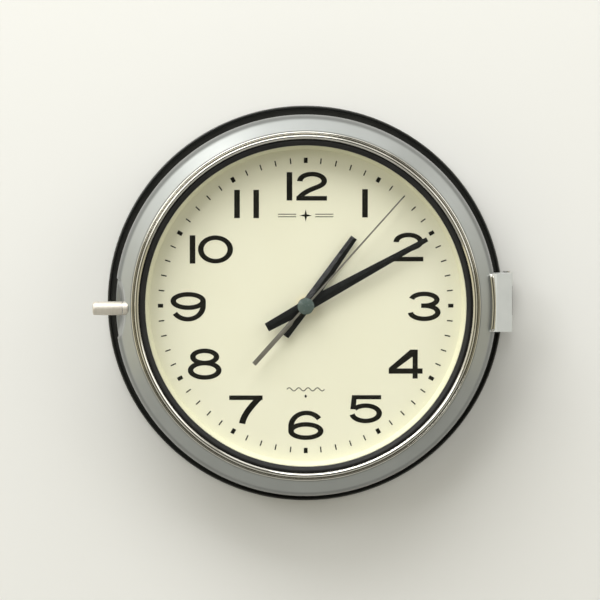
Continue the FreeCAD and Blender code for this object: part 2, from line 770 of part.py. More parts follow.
def glazing():
    glass_front = dim.glass_back + dim.glass_thickness
    node("glass", turned("glass", [
        (0, dim.glass_back), (dim.glass_radius, dim.glass_back),
        (dim.glass_radius, glass_front), (0, glass_front),
    ]))
    node("glass_gasket", turned("glass_gasket", [
        (dim.gasket_inner_radius, dim.gasket_back), (dim.bezel_skirt_inner, dim.gasket_back),
        (dim.bezel_skirt_inner, dim.bezel_lip_back),
        (dim.gasket_inner_radius, dim.bezel_lip_back),
        (dim.gasket_inner_radius, glass_front), (dim.glass_radius, glass_front),
        (dim.glass_radius, dim.glass_back), (dim.gasket_inner_radius, dim.glass_back),
    ]))
    spigot = dim.bezel_skirt_inner - RETAINER_GAP
    retainer = turned("retainer_profile", [
        (dim.retainer_inner_radius, dim.retainer_back),
        (dim.bezel_skirt_outer, dim.retainer_back),
        (dim.bezel_skirt_outer, dim.bezel_skirt_back),
        (spigot, dim.bezel_skirt_back), (spigot, dim.gasket_back),
        (dim.retainer_inner_radius, dim.gasket_back),
    ])
    holes = []
    screws = []
    for angle in RETAINER_SCREW_ANGLES:
        spot = around(dim.retainer_screw_circle, angle, dim.retainer_back - 1)
        holes.append(cylinder(RETAINER_SCREW_RADIUS, RETAINER_SCREW_LENGTH, spot))
        seat = around(dim.retainer_screw_circle, angle, dim.retainer_back)
        screws.append(screw(
            RETAINER_HEAD_RADIUS, RETAINER_HEAD_HEIGHT, RETAINER_SCREW_RADIUS,
            RETAINER_SCREW_LENGTH, seat, BACKWARD
        ))
    node("glass_retainer", cut(retainer, *holes))
    node("retainer_screws", group(*screws))


# ---------------------------------------------------------------- latch and hinge

KNOB_ROUNDING = 0.6
HINGE_SCREW_LENGTH = 7
HINGE_HEAD_RADIUS = 2.5
HINGE_HEAD_HEIGHT = 1.2
HINGE_HEAD_REACH = 109.7        # where the heads press on the cover's inside
HINGE_SCREW_START = 105
HINGE_SCREW_WAY = 13


def latch_parts():
    bore = dim.spindle_radius + dim.running_gap
    washer_end = dim.knob_inner_end - dim.washer_thickness
    rounding = KNOB_ROUNDING
    handle = turned("knob_profile", [
        (0, dim.spindle_end), (dim.spindle_radius, dim.spindle_end),
        (dim.spindle_radius, dim.knob_inner_end), (dim.knob_radius, dim.knob_inner_end),
        (dim.knob_radius, dim.knob_end - rounding), Bend(rounding, -1),
        (dim.knob_radius - rounding, dim.knob_end), (0, dim.knob_end),
    ])
    # the outline is measured leftwards from the centre plane, so local Z points left
    pin_length = dim.spindle_end - dim.cam_end + 1
    pin = cylinder(dim.cam_radius, pin_length, (0, -dim.cam_offset, dim.cam_end))
    axis = (0, dim.latch_level, dim.latch_axis)
    node("latch_knob", fuse(handle, pin), axis, OUT_LEFT)
    node("latch_washer", hollow(dim.knob_radius, bore, dim.washer_thickness,
                                (0, 0, washer_end)), axis, OUT_LEFT)
    bush_length = washer_end - dim.bush_end
    node("latch_bush", hollow(dim.knob_radius, bore, bush_length), (
        -dim.bush_end, dim.latch_level, dim.latch_axis), OUT_LEFT)


def hinge():
    axis_x = dim.hinge_reach
    axis_depth = dim.hinge_depth
    level = dim.hinge_level
    pin_bore = dim.hinge_pin_radius + dim.running_gap

    def barrel(radius, start, end):
        return cylinder(radius, end - start, (axis_x, level + start, axis_depth), UPRIGHT)

    # cover side: a cast block that lies against the cover's side and over its shoulder
    body = profiled("block_profile", [
        (dim.block_inner, dim.block_back), (dim.block_outer, dim.block_back),
        (dim.block_outer, dim.block_front), (dim.block_edge_reach, dim.block_front),
        (dim.block_tip_reach, dim.shoulder_end + dim.block_tip_rise),
        (dim.block_inner, dim.block_slope_start),
    ], dim.hinge_half_height, level)
    edge = turned("block_edge", [
        (0, 0), (dim.block_tip_reach, 0),
        (dim.block_tip_reach, dim.shoulder_end + dim.block_tip_rise),
        (dim.block_edge_reach, dim.block_front), (dim.block_edge_reach, dim.shell_front),
        (0, dim.shell_front),
    ])
    shaped = cut(body, turned("block_cover_side", cover_outside()), edge)
    outer_width = dim.hinge_half_height - dim.knuckle_start
    knuckles = []
    bores = []
    for start in (-dim.hinge_half_height, dim.knuckle_start):
        web = block(
            (axis_x - dim.knuckle_radius, level + start, axis_depth),
            (dim.block_outer, level + start + outer_width, dim.block_back + 1),
        )
        knuckles.append(fuse(barrel(dim.knuckle_radius, start, start + outer_width), web))
    bores.append(barrel(pin_bore, -dim.hinge_half_height - 2, dim.hinge_half_height + 2))
    for y, depth in hinge_screw_places():
        start = (HINGE_SCREW_START, y, depth)
        bores.append(cylinder(HINGE_SCREW_RADIUS, HINGE_SCREW_WAY, start, SIDEWAYS))
    node("hinge_block", cut(fuse(shaped, *knuckles), *bores))
    heads = [
        screw(HINGE_HEAD_RADIUS, HINGE_HEAD_HEIGHT, HINGE_SCREW_RADIUS, HINGE_SCREW_LENGTH,
              (HINGE_HEAD_REACH, y, depth), OUT_LEFT)
        for y, depth in hinge_screw_places()
    ]
    node("hinge_screws", group(*heads))

    # case side: a bracket on the wall flange that carries the middle knuckle and the pin
    half = dim.bracket_half_height
    foot = block(
        (dim.bracket_foot_start, level - half, dim.plate_thickness),
        (dim.bracket_foot_end, level + half, dim.bracket_foot_front),
    )
    arm = block(
        (dim.bracket_arm_start, level - half, dim.rim_depth + dim.bracket_clearance),
        (axis_x, level + half, axis_depth),
    )
    pin_hole = barrel(dim.hinge_pin_radius, -half - 1, half + 1)
    rivet_holes = [
        cylinder(dim.bracket_rivet_radius, dim.bracket_rivet_length, (x, y, 0))
        for x, y, _ in rivet_places()[2]
    ]
    bracket = fuse(foot, arm, barrel(dim.knuckle_radius, -half, half))
    node("hinge_bracket", cut(bracket, pin_hole, *rivet_holes))
    head_start = dim.hinge_half_height + dim.pin_head_gap
    length = head_start + dim.pin_head_length
    node("hinge_pin", fuse(
        barrel(dim.hinge_pin_radius, -length, length),
        barrel(dim.pin_head_radius, head_start, length),
        barrel(dim.pin_head_radius, -length, -head_start),
    ))


# ---------------------------------------------------------------- movement

SCREW_POSTS = ((31.5, 41.5), (-31.5, 41.5), (31.5, -16.2), (-31.5, -16.2))
POST_RADIUS = 2.8
FRAME_SCREW_RADIUS = 1.0
FRAME_SCREW_LENGTH = 9
FRAME_HEAD_RADIUS = 2.2
FRAME_HEAD_DEPTH = 1.2
PIVOT_DEPTH = 1.0
MIDDLE_PLATE_LOW = (-34.4, -13)
MIDDLE_PLATE_HIGH = (34.4, 38)
MOTION_WINDOW = 3               # hole of the middle plate behind the motion arbor
THIRD_WINDOW = 2                # hole of the middle plate round the third arbor
STUD_GAP = 0.3                  # from the stud's back end to the back of the motion wheel

# Wheel arbors seen from the dial: distance and direction of each from the one before it.
THIRD_DISTANCE = 18
THIRD_DIRECTION = 40
INTERMEDIATE_DISTANCE = 14.4
INTERMEDIATE_DIRECTION = 140
ROTOR_DISTANCE = 12.25
ROTOR_DIRECTION = 150
MOTION_DISTANCE = 12
MOTION_DIRECTION = 200
SETTING_DIRECTION = 250


def from_point(start, distance, degrees):
    angle = math.radians(degrees)
    return (start[0] + distance * math.cos(angle), start[1] + distance * math.sin(angle))


CENTRE = (0.0, 0.0)
THIRD = from_point(CENTRE, THIRD_DISTANCE, THIRD_DIRECTION)
INTERMEDIATE = from_point(CENTRE, INTERMEDIATE_DISTANCE, INTERMEDIATE_DIRECTION)
ROTOR = from_point(INTERMEDIATE, ROTOR_DISTANCE, ROTOR_DIRECTION)
MOTION = from_point(CENTRE, MOTION_DISTANCE, MOTION_DIRECTION)
SETTING = from_point(MOTION, MOTION_DISTANCE, SETTING_DIRECTION)


def at_arbor(arbor, depth):
    return (arbor[0], arbor[1], depth)


def pivot_hole(arbor, radius, depth, length=PIVOT_DEPTH):
    return cylinder(radius + dim.running_gap, length, at_arbor(arbor, depth))


NUT_SETBACK = 0.1               # the centre post stands this far out of its nut


def movement_frame():
    wide = dim.frame_half_width
    wall = dim.frame_wall
    back = dim.frame_back
    floor = back + wall
    front = dim.frame_front
    shell = block((-wide, dim.frame_bottom, back), (wide, dim.frame_top, front))
    gear_room = block(
        (-wide + wall, dim.partition_top, floor), (wide - wall, dim.frame_top - wall, front + 1)
    )
    battery_room = block(
        (-wide + wall, dim.frame_bottom + wall, back - 1),
        (wide - wall, dim.partition_bottom, front + 1),
    )
    posts = [
        cylinder(POST_RADIUS, front - floor, (x, y, floor)) for x, y in SCREW_POSTS
    ]
    tools = [cylinder(FRAME_SCREW_RADIUS, 12, (x, y, front - 10)) for x, y in SCREW_POSTS]
    pivot = floor - PIVOT_DEPTH
    tools.append(pivot_hole(CENTRE, dim.seconds_arbor_radius, pivot))
    for arbor in (THIRD, INTERMEDIATE, ROTOR):
        tools.append(pivot_hole(arbor, dim.arbor_radius, pivot))
    tools.append(pivot_hole(SETTING, dim.arbor_radius, back - 1, 4))
    housing = cut(fuse(cut(shell, gear_room, battery_room), *posts), *tools)
    node("movement_housing", housing)

    plate_back = dim.middle_plate_back
    plate = block(
        (*MIDDLE_PLATE_LOW, plate_back),
        (*MIDDLE_PLATE_HIGH, plate_back + dim.middle_plate_thickness),
    )
    bores = [cylinder(MOTION_WINDOW, 6, at_arbor(MOTION, plate_back - 2))]
    bores.append(pivot_hole(CENTRE, dim.seconds_arbor_radius, plate_back - 1, 4))
    bores.append(cylinder(THIRD_WINDOW, 6, at_arbor(THIRD, plate_back - 2)))
    for arbor in (INTERMEDIATE, ROTOR):
        bores.append(pivot_hole(arbor, dim.arbor_radius, plate_back - 1, 4))
    node("movement_middle_plate", cut(plate, *bores))

    head_back = dim.dial_back - FRAME_HEAD_DEPTH
    cover = block((-wide, dim.frame_bottom, front), (wide, dim.frame_top, dim.dial_back))
    post = cylinder(dim.post_radius, dim.post_front - front, (0, 0, front))
    stud_length = front - dim.layer_motion + STUD_GAP
    stud = cylinder(dim.arbor_radius, stud_length, at_arbor(MOTION, front - stud_length))
    holes = [cylinder(dim.hour_pipe_radius + dim.running_gap, 12, (0, 0, front - 2))]
    for arbor in (THIRD, SETTING):
        holes.append(pivot_hole(arbor, dim.arbor_radius, front))
    screws = []
    for x, y in SCREW_POSTS:
        holes.append(cylinder(FRAME_SCREW_RADIUS, 4, (x, y, front - 1)))
        holes.append(cylinder(FRAME_HEAD_RADIUS, 3, (x, y, head_back)))
        screws.append(screw(
            FRAME_HEAD_RADIUS, FRAME_HEAD_DEPTH, FRAME_SCREW_RADIUS, FRAME_SCREW_LENGTH,
            (x, y, head_back)
        ))
    node("movement_front_plate", cut(fuse(cover, post, stud), *holes))
    node("movement_screws", group(*screws))
    front_of_dial = dim.dial_back + dim.dial_thickness
    nut_height = dim.post_front - front_of_dial - NUT_SETBACK
    node("centre_nut", hollow(dim.nut_radius, dim.post_radius, nut_height),
         (0, 0, front_of_dial))


NUB_RADIUS = 3.3
NUB_LENGTH = 1.5
CONTACT_SHEET = 0.4
CONTACT_TONGUE = 8
CONTACT_WIDTH = 10
CONTACT_KNEE = 0.5


def battery():
    """The cell lies across the movement between two bent sheet contacts."""
    start = -dim.cell_length / 2 - NUB_LENGTH / 2
    level = dim.cell_level
    depth = dim.cell_depth
    body = cylinder(dim.cell_radius, dim.cell_length, (start, level, depth), SIDEWAYS)
    nub_start = start + dim.cell_length
    nub = cylinder(NUB_RADIUS, NUB_LENGTH, (nub_start, level, depth), SIDEWAYS)
    node("battery_cell", fuse(body, nub))
    wall_face = dim.frame_half_width - dim.frame_wall
    sheet_metal = CONTACT_SHEET
    tongue = CONTACT_TONGUE
    contact_end = nub_start + NUB_LENGTH
    contact_back = depth - CONTACT_WIDTH / 2
    node("battery_contact_positive", padded("contact_positive", [[
        (contact_end, level - tongue), (wall_face, level - tongue),
        (wall_face, level - tongue + sheet_metal),
        (contact_end + sheet_metal, level - tongue + sheet_metal),
        (contact_end + sheet_metal, level + tongue), (contact_end, level + tongue),
    ]], contact_back, CONTACT_WIDTH))
    node("battery_contact_negative", padded("contact_negative", [[
        (start, level - tongue), (start, level + tongue),
        (start - sheet_metal, level + tongue), (start - sheet_metal, level - tongue + sheet_metal),
        (-wall_face + sheet_metal, level), (-wall_face + sheet_metal, level + tongue),
        (-wall_face, level + tongue), (-wall_face, level - CONTACT_KNEE),
        (start - sheet_metal, level - tongue),
    ]], contact_back, CONTACT_WIDTH))


# Stepping motor and circuit, seen from the dial: places across, up and in depth.
STATOR_BACK = 12.6
STATOR_THICKNESS = 1.6
STATOR_LEFT = -31
STATOR_RIGHT = 8
STATOR_TOP = 38
STATOR_ARM = 4
STATOR_FOOT_RIGHT = -12.7
STATOR_FOOT_LOW = 8
STATOR_FOOT_HIGH = 22.8
STATOR_BRIDGE_HIGH = 28
ROTOR_WAY = 4                   # radius of the stator's hole round the rotor magnet
CORE_LOW = 35
CORE_THICKNESS = 1.2
CORE_GAP = 0.05
BOBBIN_LEFT = -26
BOBBIN_LENGTH = 29
BOBBIN_FLANGE = 1.2
BOBBIN_RADIUS = 2.3
FLANGE_RADIUS = 3.9
WINDING_RADIUS = 3.5
BOARD_BACK = 11.2
BOARD_THICKNESS = 1
BOARD_LOW = (11, 29)
BOARD_HIGH = (28, 43.6)
CRYSTAL_RADIUS = 1
CRYSTAL_LENGTH = 6
CRYSTAL_START = (13, 41)
CHIP_LOW = (18, 32)
CHIP_HIGH = (24, 37)
CHIP_HEIGHT = 1


def motor():
    """Stepping motor: stator, coil and rotor bearings, with the circuit that drives it."""
    back = STATOR_BACK
    front = back + STATOR_THICKNESS
    foot_top = STATOR_FOOT_HIGH - 0.8

    def leg(left, low, right, high):
        return block((left, low, back), (right, high, front))

    legs = [
        leg(STATOR_LEFT, STATOR_FOOT_LOW, STATOR_FOOT_RIGHT, STATOR_FOOT_HIGH),
        leg(STATOR_LEFT, foot_top, STATOR_LEFT + STATOR_ARM, STATOR_TOP),
        leg(STATOR_FOOT_RIGHT - STATOR_ARM, foot_top, STATOR_FOOT_RIGHT, STATOR_BRIDGE_HIGH),
        leg(STATOR_FOOT_RIGHT - STATOR_ARM, STATOR_BRIDGE_HIGH - STATOR_ARM, STATOR_RIGHT,
            STATOR_BRIDGE_HIGH),
        leg(STATOR_RIGHT - STATOR_ARM, STATOR_BRIDGE_HIGH, STATOR_RIGHT, STATOR_TOP),
    ]
    hole = cylinder(ROTOR_WAY, STATOR_THICKNESS + 2, at_arbor(ROTOR, back - 1))
    node("stator", cut(fuse(*legs), hole))
    core_front = front + CORE_THICKNESS
    node("coil_core", block(
        (STATOR_LEFT, CORE_LOW, front), (STATOR_RIGHT, STATOR_TOP, core_front)
    ))
    level = (CORE_LOW + STATOR_TOP) / 2
    depth = front + CORE_THICKNESS / 2
    axis = (BOBBIN_LEFT, level, depth)
    right = BOBBIN_LEFT + BOBBIN_LENGTH
    bore = block(
        (BOBBIN_LEFT - 1, CORE_LOW - CORE_GAP, front - CORE_GAP),
        (right + 1, STATOR_TOP + CORE_GAP, core_front + CORE_GAP),
    )
    former = fuse(
        cylinder(BOBBIN_RADIUS, BOBBIN_LENGTH, axis, SIDEWAYS),
        cylinder(FLANGE_RADIUS, BOBBIN_FLANGE, axis, SIDEWAYS),
        cylinder(FLANGE_RADIUS, BOBBIN_FLANGE, (right - BOBBIN_FLANGE, level, depth), SIDEWAYS),
    )
    node("coil_bobbin", cut(former, bore))
    winding_length = BOBBIN_LENGTH - 2 * BOBBIN_FLANGE
    node("coil_winding", hollow(WINDING_RADIUS, BOBBIN_RADIUS, winding_length),
         (BOBBIN_LEFT + BOBBIN_FLANGE, level, depth), SIDEWAYS)
    board_front = BOARD_BACK + BOARD_THICKNESS
    node("circuit_board", block((*BOARD_LOW, BOARD_BACK), (*BOARD_HIGH, board_front)))
    crystal = (*CRYSTAL_START, board_front + CRYSTAL_RADIUS)
    node("quartz_crystal", cylinder(CRYSTAL_RADIUS, CRYSTAL_LENGTH, crystal, SIDEWAYS))
    node("driver_chip", block((*CHIP_LOW, board_front), (*CHIP_HIGH, board_front + CHIP_HEIGHT)))


# ---------------------------------------------------------------- gears

class Gear:
    """Tooth count, module and tooth phase of one gear."""

    ADDENDUM = 0.8
    DEDENDUM = 1.05
    TIP_SHARE = 0.17
    PITCH_SHARE = 0.40
    ROOT_SHARE = 0.52

    def __init__(self, teeth, module, phase=0.0):
        self.teeth = teeth
        self.module = module
        self.phase = phase

    @property
    def pitch_radius(self):
        return self.teeth * self.module / 2

    @property
    def root_radius(self):
        return self.pitch_radius - self.DEDENDUM * self.module

    def meshed_with(self, other, direction):
        """Set the phase so that a tooth gap faces the other gear, in a direction from it."""
        lead = (direction - other.phase) * other.teeth / 360
        self.phase = direction + 180 - (0.5 - lead) * 360 / self.teeth
        return self

    def face(self):
        """The gear's flat outline about the origin."""
        pitch = 2 * math.pi / self.teeth
        levels = (
            (self.root_radius, -self.ROOT_SHARE),
            (self.pitch_radius, -self.PITCH_SHARE),
            (self.pitch_radius + self.ADDENDUM * self.module, -self.TIP_SHARE),
            (self.pitch_radius + self.ADDENDUM * self.module, self.TIP_SHARE),
            (self.pitch_radius, self.PITCH_SHARE),
            (self.root_radius, self.ROOT_SHARE),
        )
        points = []
        for tooth in range(self.teeth):
            middle = math.radians(self.phase) + tooth * pitch
            for radius, share in levels:
                angle = middle + share * pitch / 2
                points.append(Vector(radius * math.cos(angle), radius * math.sin(angle), 0))
        return Part.Face(Part.makePolygon(points + points[:1]))


def toothed(gear, depth, thickness):
    """A solid toothed disc at a depth, about the local origin's axis."""
    thing = document.addObject("Part::Feature", "teeth")
    thing.Shape = gear.face().extrude(Vector(0, 0, thickness.value))
    thing.Placement = Placement(Vector(0, 0, depth.value), Rotation())
    return thing


WINDOW_CIRCLE_SHARE = 0.58      # of a wheel's pitch radius
WINDOW_RADIUS_SHARE = 0.24
MAGNET_RADIUS = 3.5
MAGNET_BACK = 12
MAGNET_LENGTH = 2.8
END_SHAKE = 0.1                 # room of an arbor along its axis
MOTION_PINION_RADIUS = 1.6
TUBE_TOOL_BACK = 20
TUBE_TOOL_LENGTH = 40
SETTING_KNOB_RADIUS = 4.5
SETTING_KNOB_BACK = 4
SETTING_KNOB_GAP = 0.4          # between the setting knob and the housing


def wheel(label, gear, depth, bore, arbor):
    """A gear wheel with four round windows."""
    windows = []
    reach = WINDOW_CIRCLE_SHARE * gear.pitch_radius
    for quarter in range(4):
        x, y = from_point(CENTRE, reach, 45 + 90 * quarter)
        windows.append(cylinder(
            WINDOW_RADIUS_SHARE * gear.pitch_radius, 4, (x, y, depth - 1)
        ))
    disc = toothed(gear, depth, dim.gear_thickness)
    hole = cylinder(bore, 4, (0, 0, depth - 1))
    node(label, cut(disc, hole, *windows), at_arbor(arbor, 0))


def gear_train():
    rotor_pinion = Gear(10, 0.35)
    intermediate_wheel = Gear(60, 0.35).meshed_with(rotor_pinion, ROTOR_DIRECTION + 180)
    intermediate_pinion = Gear(12, 0.4)
    seconds_wheel = Gear(60, 0.4).meshed_with(intermediate_pinion, INTERMEDIATE_DIRECTION + 180)
    seconds_pinion = Gear(8, 0.5)
    third_wheel = Gear(64, 0.5).meshed_with(seconds_pinion, THIRD_DIRECTION)
    third_pinion = Gear(8, 2 * THIRD_DISTANCE / 68)
    centre_gear = Gear(60, 2 * THIRD_DISTANCE / 68).meshed_with(third_pinion, THIRD_DIRECTION + 180)
    cannon_gear = Gear(12, 0.5)
    motion_gear = Gear(36, 0.5).meshed_with(cannon_gear, MOTION_DIRECTION)
    motion_leaves = Gear(10, 0.48)
    hour_gear = Gear(40, 0.48).meshed_with(motion_leaves, MOTION_DIRECTION + 180)
    setting_pinion = Gear(12, 0.5).meshed_with(motion_gear, SETTING_DIRECTION)

    thick = dim.gear_thickness
    pivot_back = dim.frame_back + dim.frame_wall - PIVOT_DEPTH + END_SHAKE
    pivot_front = dim.frame_front + PIVOT_DEPTH - END_SHAKE
    plate_front = dim.middle_plate_back + dim.middle_plate_thickness
    radius = dim.arbor_radius

    # rotor: a magnet with a pinion in front of it
    node("rotor_arbor", fuse(
        cylinder(radius, plate_front - pivot_back, (0, 0, pivot_back)),
        toothed(rotor_pinion, dim.layer_motor, thick),
    ), at_arbor(ROTOR, 0))
    node("rotor_magnet", hollow(MAGNET_RADIUS, radius, MAGNET_LENGTH),
         at_arbor(ROTOR, MAGNET_BACK))

    node("intermediate_arbor", fuse(
        cylinder(radius, plate_front - pivot_back, (0, 0, pivot_back)),
        toothed(intermediate_pinion, dim.layer_seconds, thick),
    ), at_arbor(INTERMEDIATE, 0))
    wheel("intermediate_wheel", intermediate_wheel, dim.layer_motor, radius, INTERMEDIATE)

    # seconds arbor: from the housing through the hollow hand arbors to the second hand
    hand_front = dim.second_hand_back + dim.second_hand_thickness
    node("second_arbor", fuse(
        cylinder(dim.seconds_arbor_radius, hand_front - pivot_back, (0, 0, pivot_back)),
        toothed(seconds_pinion, dim.layer_third, thick),
    ))
    wheel("second_wheel", seconds_wheel, dim.layer_seconds, dim.seconds_arbor_radius, CENTRE)

    node("third_arbor", fuse(
        cylinder(radius, pivot_front - pivot_back, (0, 0, pivot_back)),
        toothed(third_pinion, dim.layer_centre, thick),
    ), at_arbor(THIRD, 0))
    wheel("third_wheel", third_wheel, dim.layer_third, radius, THIRD)

    # cannon pinion: the tube that carries the minute hand
    tube_back = dim.layer_centre - 0.2
    tube_front = dim.minute_hand_back + dim.hand_ridge
    tube = fuse(
        cylinder(dim.cannon_radius, tube_front - tube_back, (0, 0, tube_back)),
        toothed(cannon_gear, dim.layer_motion, thick),
    )
    tool_start = (0, 0, TUBE_TOOL_BACK)
    bore = cylinder(dim.seconds_arbor_radius + dim.running_gap, TUBE_TOOL_LENGTH, tool_start)
    node("cannon_pinion", cut(tube, bore))
    wheel("centre_wheel", centre_gear, dim.layer_centre, dim.cannon_radius, CENTRE)

    # motion pinion turns on the stud of the front plate and carries the motion wheel
    leaves_front = dim.layer_hour + thick
    leaves = fuse(
        cylinder(MOTION_PINION_RADIUS, leaves_front - dim.layer_motion, (0, 0, dim.layer_motion)),
        toothed(motion_leaves, dim.layer_hour, thick),
    )
    bore = cylinder(radius + dim.running_gap, TUBE_TOOL_LENGTH, tool_start)
    node("motion_pinion", cut(leaves, bore), at_arbor(MOTION, 0))
    wheel("motion_wheel", motion_gear, dim.layer_motion, MOTION_PINION_RADIUS, MOTION)

    pipe_front = dim.hour_hand_back + dim.hand_ridge
    hour = fuse(
        cylinder(dim.hour_pipe_radius, pipe_front - dim.layer_hour, (0, 0, dim.layer_hour)),
        toothed(hour_gear, dim.layer_hour, thick),
    )
    bore = cylinder(dim.cannon_radius + dim.running_gap, TUBE_TOOL_LENGTH, tool_start)
    node("hour_wheel", cut(hour, bore))

    # setting knob: reached through the hatch, drives the motion wheel
    knob_back = SETTING_KNOB_BACK
    knob_front = dim.frame_back - SETTING_KNOB_GAP
    node("setting_knob", fuse(
        cylinder(SETTING_KNOB_RADIUS, knob_front - knob_back, (0, 0, knob_back)),
        cylinder(radius, pivot_front - knob_back, (0, 0, knob_back)),
        toothed(setting_pinion, dim.layer_motion, thick),
    ), at_arbor(SETTING, 0))


# ---------------------------------------------------------------- hands

HUB_RADIUS = 4.2
HOUR_STATIONS = [(-21.4, 2.6), (0, 3.3), (48.9, 2.0)]       # distance from the axis, half width
MINUTE_STATIONS = [(-26, 2.6), (0, 3.5), (80.9, 1.35)]
SECOND_TAIL = -45.5
SECOND_TAIL_HALF_WIDTH = 1.35
SECOND_SHOULDER = -13.5
SECOND_WAIST = -11
SECOND_WAIST_HALF_WIDTH = 0.6
SECOND_TIP = 85.2
SECOND_TIP_HALF_WIDTH = 0.5
SECOND_EYE_RADIUS = 2.4
BOSS_BEVEL = 0.3


def roof_section(body, name, half_width, back, at):
    """A hand's cross-section: flat back, low edges and a ridge along the middle."""
    ridge = back + dim.hand_ridge
    edge = back + dim.hand_edge
    sketch = sketch_on(body, "XZ_Plane", [[
        (-half_width, back), (half_width, back), (half_width, edge), (0, ridge),
        (-half_width, edge),
    ]], -as_size(at))
    sketch.Label = name
    return sketch


def faceted_hand(label, back, stations, bore, angle):
    """A hand with a ridge, lofted straight through stations of (distance, half width)."""
    body = document.addObject("PartDesign::Body", label + "_blade")
    sections = [
        roof_section(body, f"{label}_{number}", half_width, back, distance)
        for number, (distance, half_width) in enumerate(stations)
    ]
    loft = body.newObject("PartDesign::AdditiveLoft", label + "_loft")
    loft.Profile = sections[0]
    loft.Sections = sections[1:]
    loft.Ruled = True
    hub = cylinder(HUB_RADIUS, dim.hand_ridge, (0, 0, back))
    hole = cylinder(bore, 5, (0, 0, back - 1))
    node(label, cut(fuse(body, hub), hole), turn=Rotation(Vector(0, 0, 1), -angle))


def hands():
    faceted_hand("hour_hand", dim.hour_hand_back, HOUR_STATIONS, dim.hour_pipe_radius,
                 TIME_SHOWN["hour"])
    faceted_hand("minute_hand", dim.minute_hand_back, MINUTE_STATIONS, dim.cannon_radius,
                 TIME_SHOWN["minute"])
    back = dim.second_hand_back
    side = [
        (SECOND_TAIL_HALF_WIDTH, SECOND_TAIL), (SECOND_TAIL_HALF_WIDTH, SECOND_SHOULDER),
        (SECOND_WAIST_HALF_WIDTH, SECOND_WAIST), (SECOND_TIP_HALF_WIDTH, SECOND_TIP),
    ]
    mirrored = [(-x, y) for x, y in reversed(side)]
    pointer = padded("pointer", [side + mirrored], back, dim.second_hand_thickness)
    eye = cylinder(SECOND_EYE_RADIUS, dim.second_hand_thickness, (0, 0, back))
    hole = cylinder(dim.seconds_arbor_radius, 5, (0, 0, back - 1))
    node("second_hand", cut(fuse(pointer, eye), hole),
         turn=Rotation(Vector(0, 0, 1), -TIME_SHOWN["second"]))
    top = back + dim.second_hand_thickness
    bevel = BOSS_BEVEL
    rise = dim.boss_front - top - bevel
    dome = (dim.boss_radius * dim.boss_radius + rise * rise) / (rise * 2)
    node("second_boss", turned("second_boss", [
        (0, top), (dim.boss_radius - bevel, top), (dim.boss_radius, top + bevel), Bend(dome, -1),
        (0, dim.boss_front),
    ]))


# ---------------------------------------------------------------- build and write

def build():
    back_plate()
    cover_seal()
    dial_pan()
    case_rivets()
    battery_hatch()
    catch()
    dial_and_ring()
    cover_shell()
    bezel()
    glazing()
    latch_parts()
    hinge()
    movement_frame()
    battery()
    motor()
    gear_train()
    hands()
    document.recompute()


def verify():
    """Stop if an object failed or a sub-part has no sound solid."""
    for thing in document.Objects:
        for state in thing.State:
            if state in ("Invalid", "Error"):
                raise RuntimeError(f"{thing.Label} is {state}")
    for thing in subparts:
        shape = thing.Shape
        if shape.isNull() or not shape.isValid() or not shape.Solids:
            raise RuntimeError(f"{thing.Label} has no valid solid")


def write():
    os.makedirs("parts", exist_ok=True)
    for thing in subparts:
        thing.Shape.exportStep(f"parts/{thing.Label}.step")
        print(f"{thing.Label}: {len(thing.Shape.Solids)} solid(s), {thing.Shape.Volume:.1f} mm3")


build()
verify()
write()
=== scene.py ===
# The looks of a ship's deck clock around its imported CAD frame. Metres, in the CAD model's frame:
# X to the right of the dial, Z up, and the dial faces -Y. A depth is a distance forward of the wall, -Y.
import json
import math

import bmesh
import bpy
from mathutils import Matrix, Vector


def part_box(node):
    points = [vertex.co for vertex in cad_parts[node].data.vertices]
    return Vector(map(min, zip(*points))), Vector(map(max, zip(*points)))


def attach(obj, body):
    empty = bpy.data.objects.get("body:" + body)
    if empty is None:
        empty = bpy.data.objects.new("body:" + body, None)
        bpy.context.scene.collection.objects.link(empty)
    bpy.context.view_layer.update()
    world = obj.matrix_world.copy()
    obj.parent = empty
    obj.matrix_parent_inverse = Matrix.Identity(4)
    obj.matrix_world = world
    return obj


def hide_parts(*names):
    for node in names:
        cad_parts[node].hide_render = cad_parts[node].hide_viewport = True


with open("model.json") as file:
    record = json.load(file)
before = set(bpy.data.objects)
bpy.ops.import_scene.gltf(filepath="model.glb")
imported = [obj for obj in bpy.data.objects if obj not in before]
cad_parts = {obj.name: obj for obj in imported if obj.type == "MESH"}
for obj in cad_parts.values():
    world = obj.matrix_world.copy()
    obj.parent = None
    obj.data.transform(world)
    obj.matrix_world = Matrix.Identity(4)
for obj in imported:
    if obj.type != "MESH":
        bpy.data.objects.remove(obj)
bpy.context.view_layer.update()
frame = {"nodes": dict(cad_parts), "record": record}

MM = 0.001
NODES = frame["nodes"]


# ---------------------------------------------------------------- places, from the frame

def front(name):
    """Depth of a node's front."""
    return -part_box(name)[0].y


def back(name):
    """Depth of a node's back."""
    return -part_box(name)[1].y


def reach(name):
    """Outer radius of a node that is round about the centre of the dial."""
    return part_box(name)[1].x


def middle(name):
    """Centre of a node's box."""
    low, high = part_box(name)
    return (low + high) / 2


# ---------------------------------------------------------------- outlines and meshes

TURN = 2 * math.pi
ROUND_STEPS = 288                   # facets round a turned piece
CORNER_STEP = math.radians(15)      # the most that a rounded corner turns in one facet
CORNER_SHARE = 0.49                 # the most of a straight that one rounding takes
SHARP = math.radians(32)            # edges that turn more than this stay sharp
ON_AXIS = 1e-7                      # an outline's point nearer to the axis than this is on it


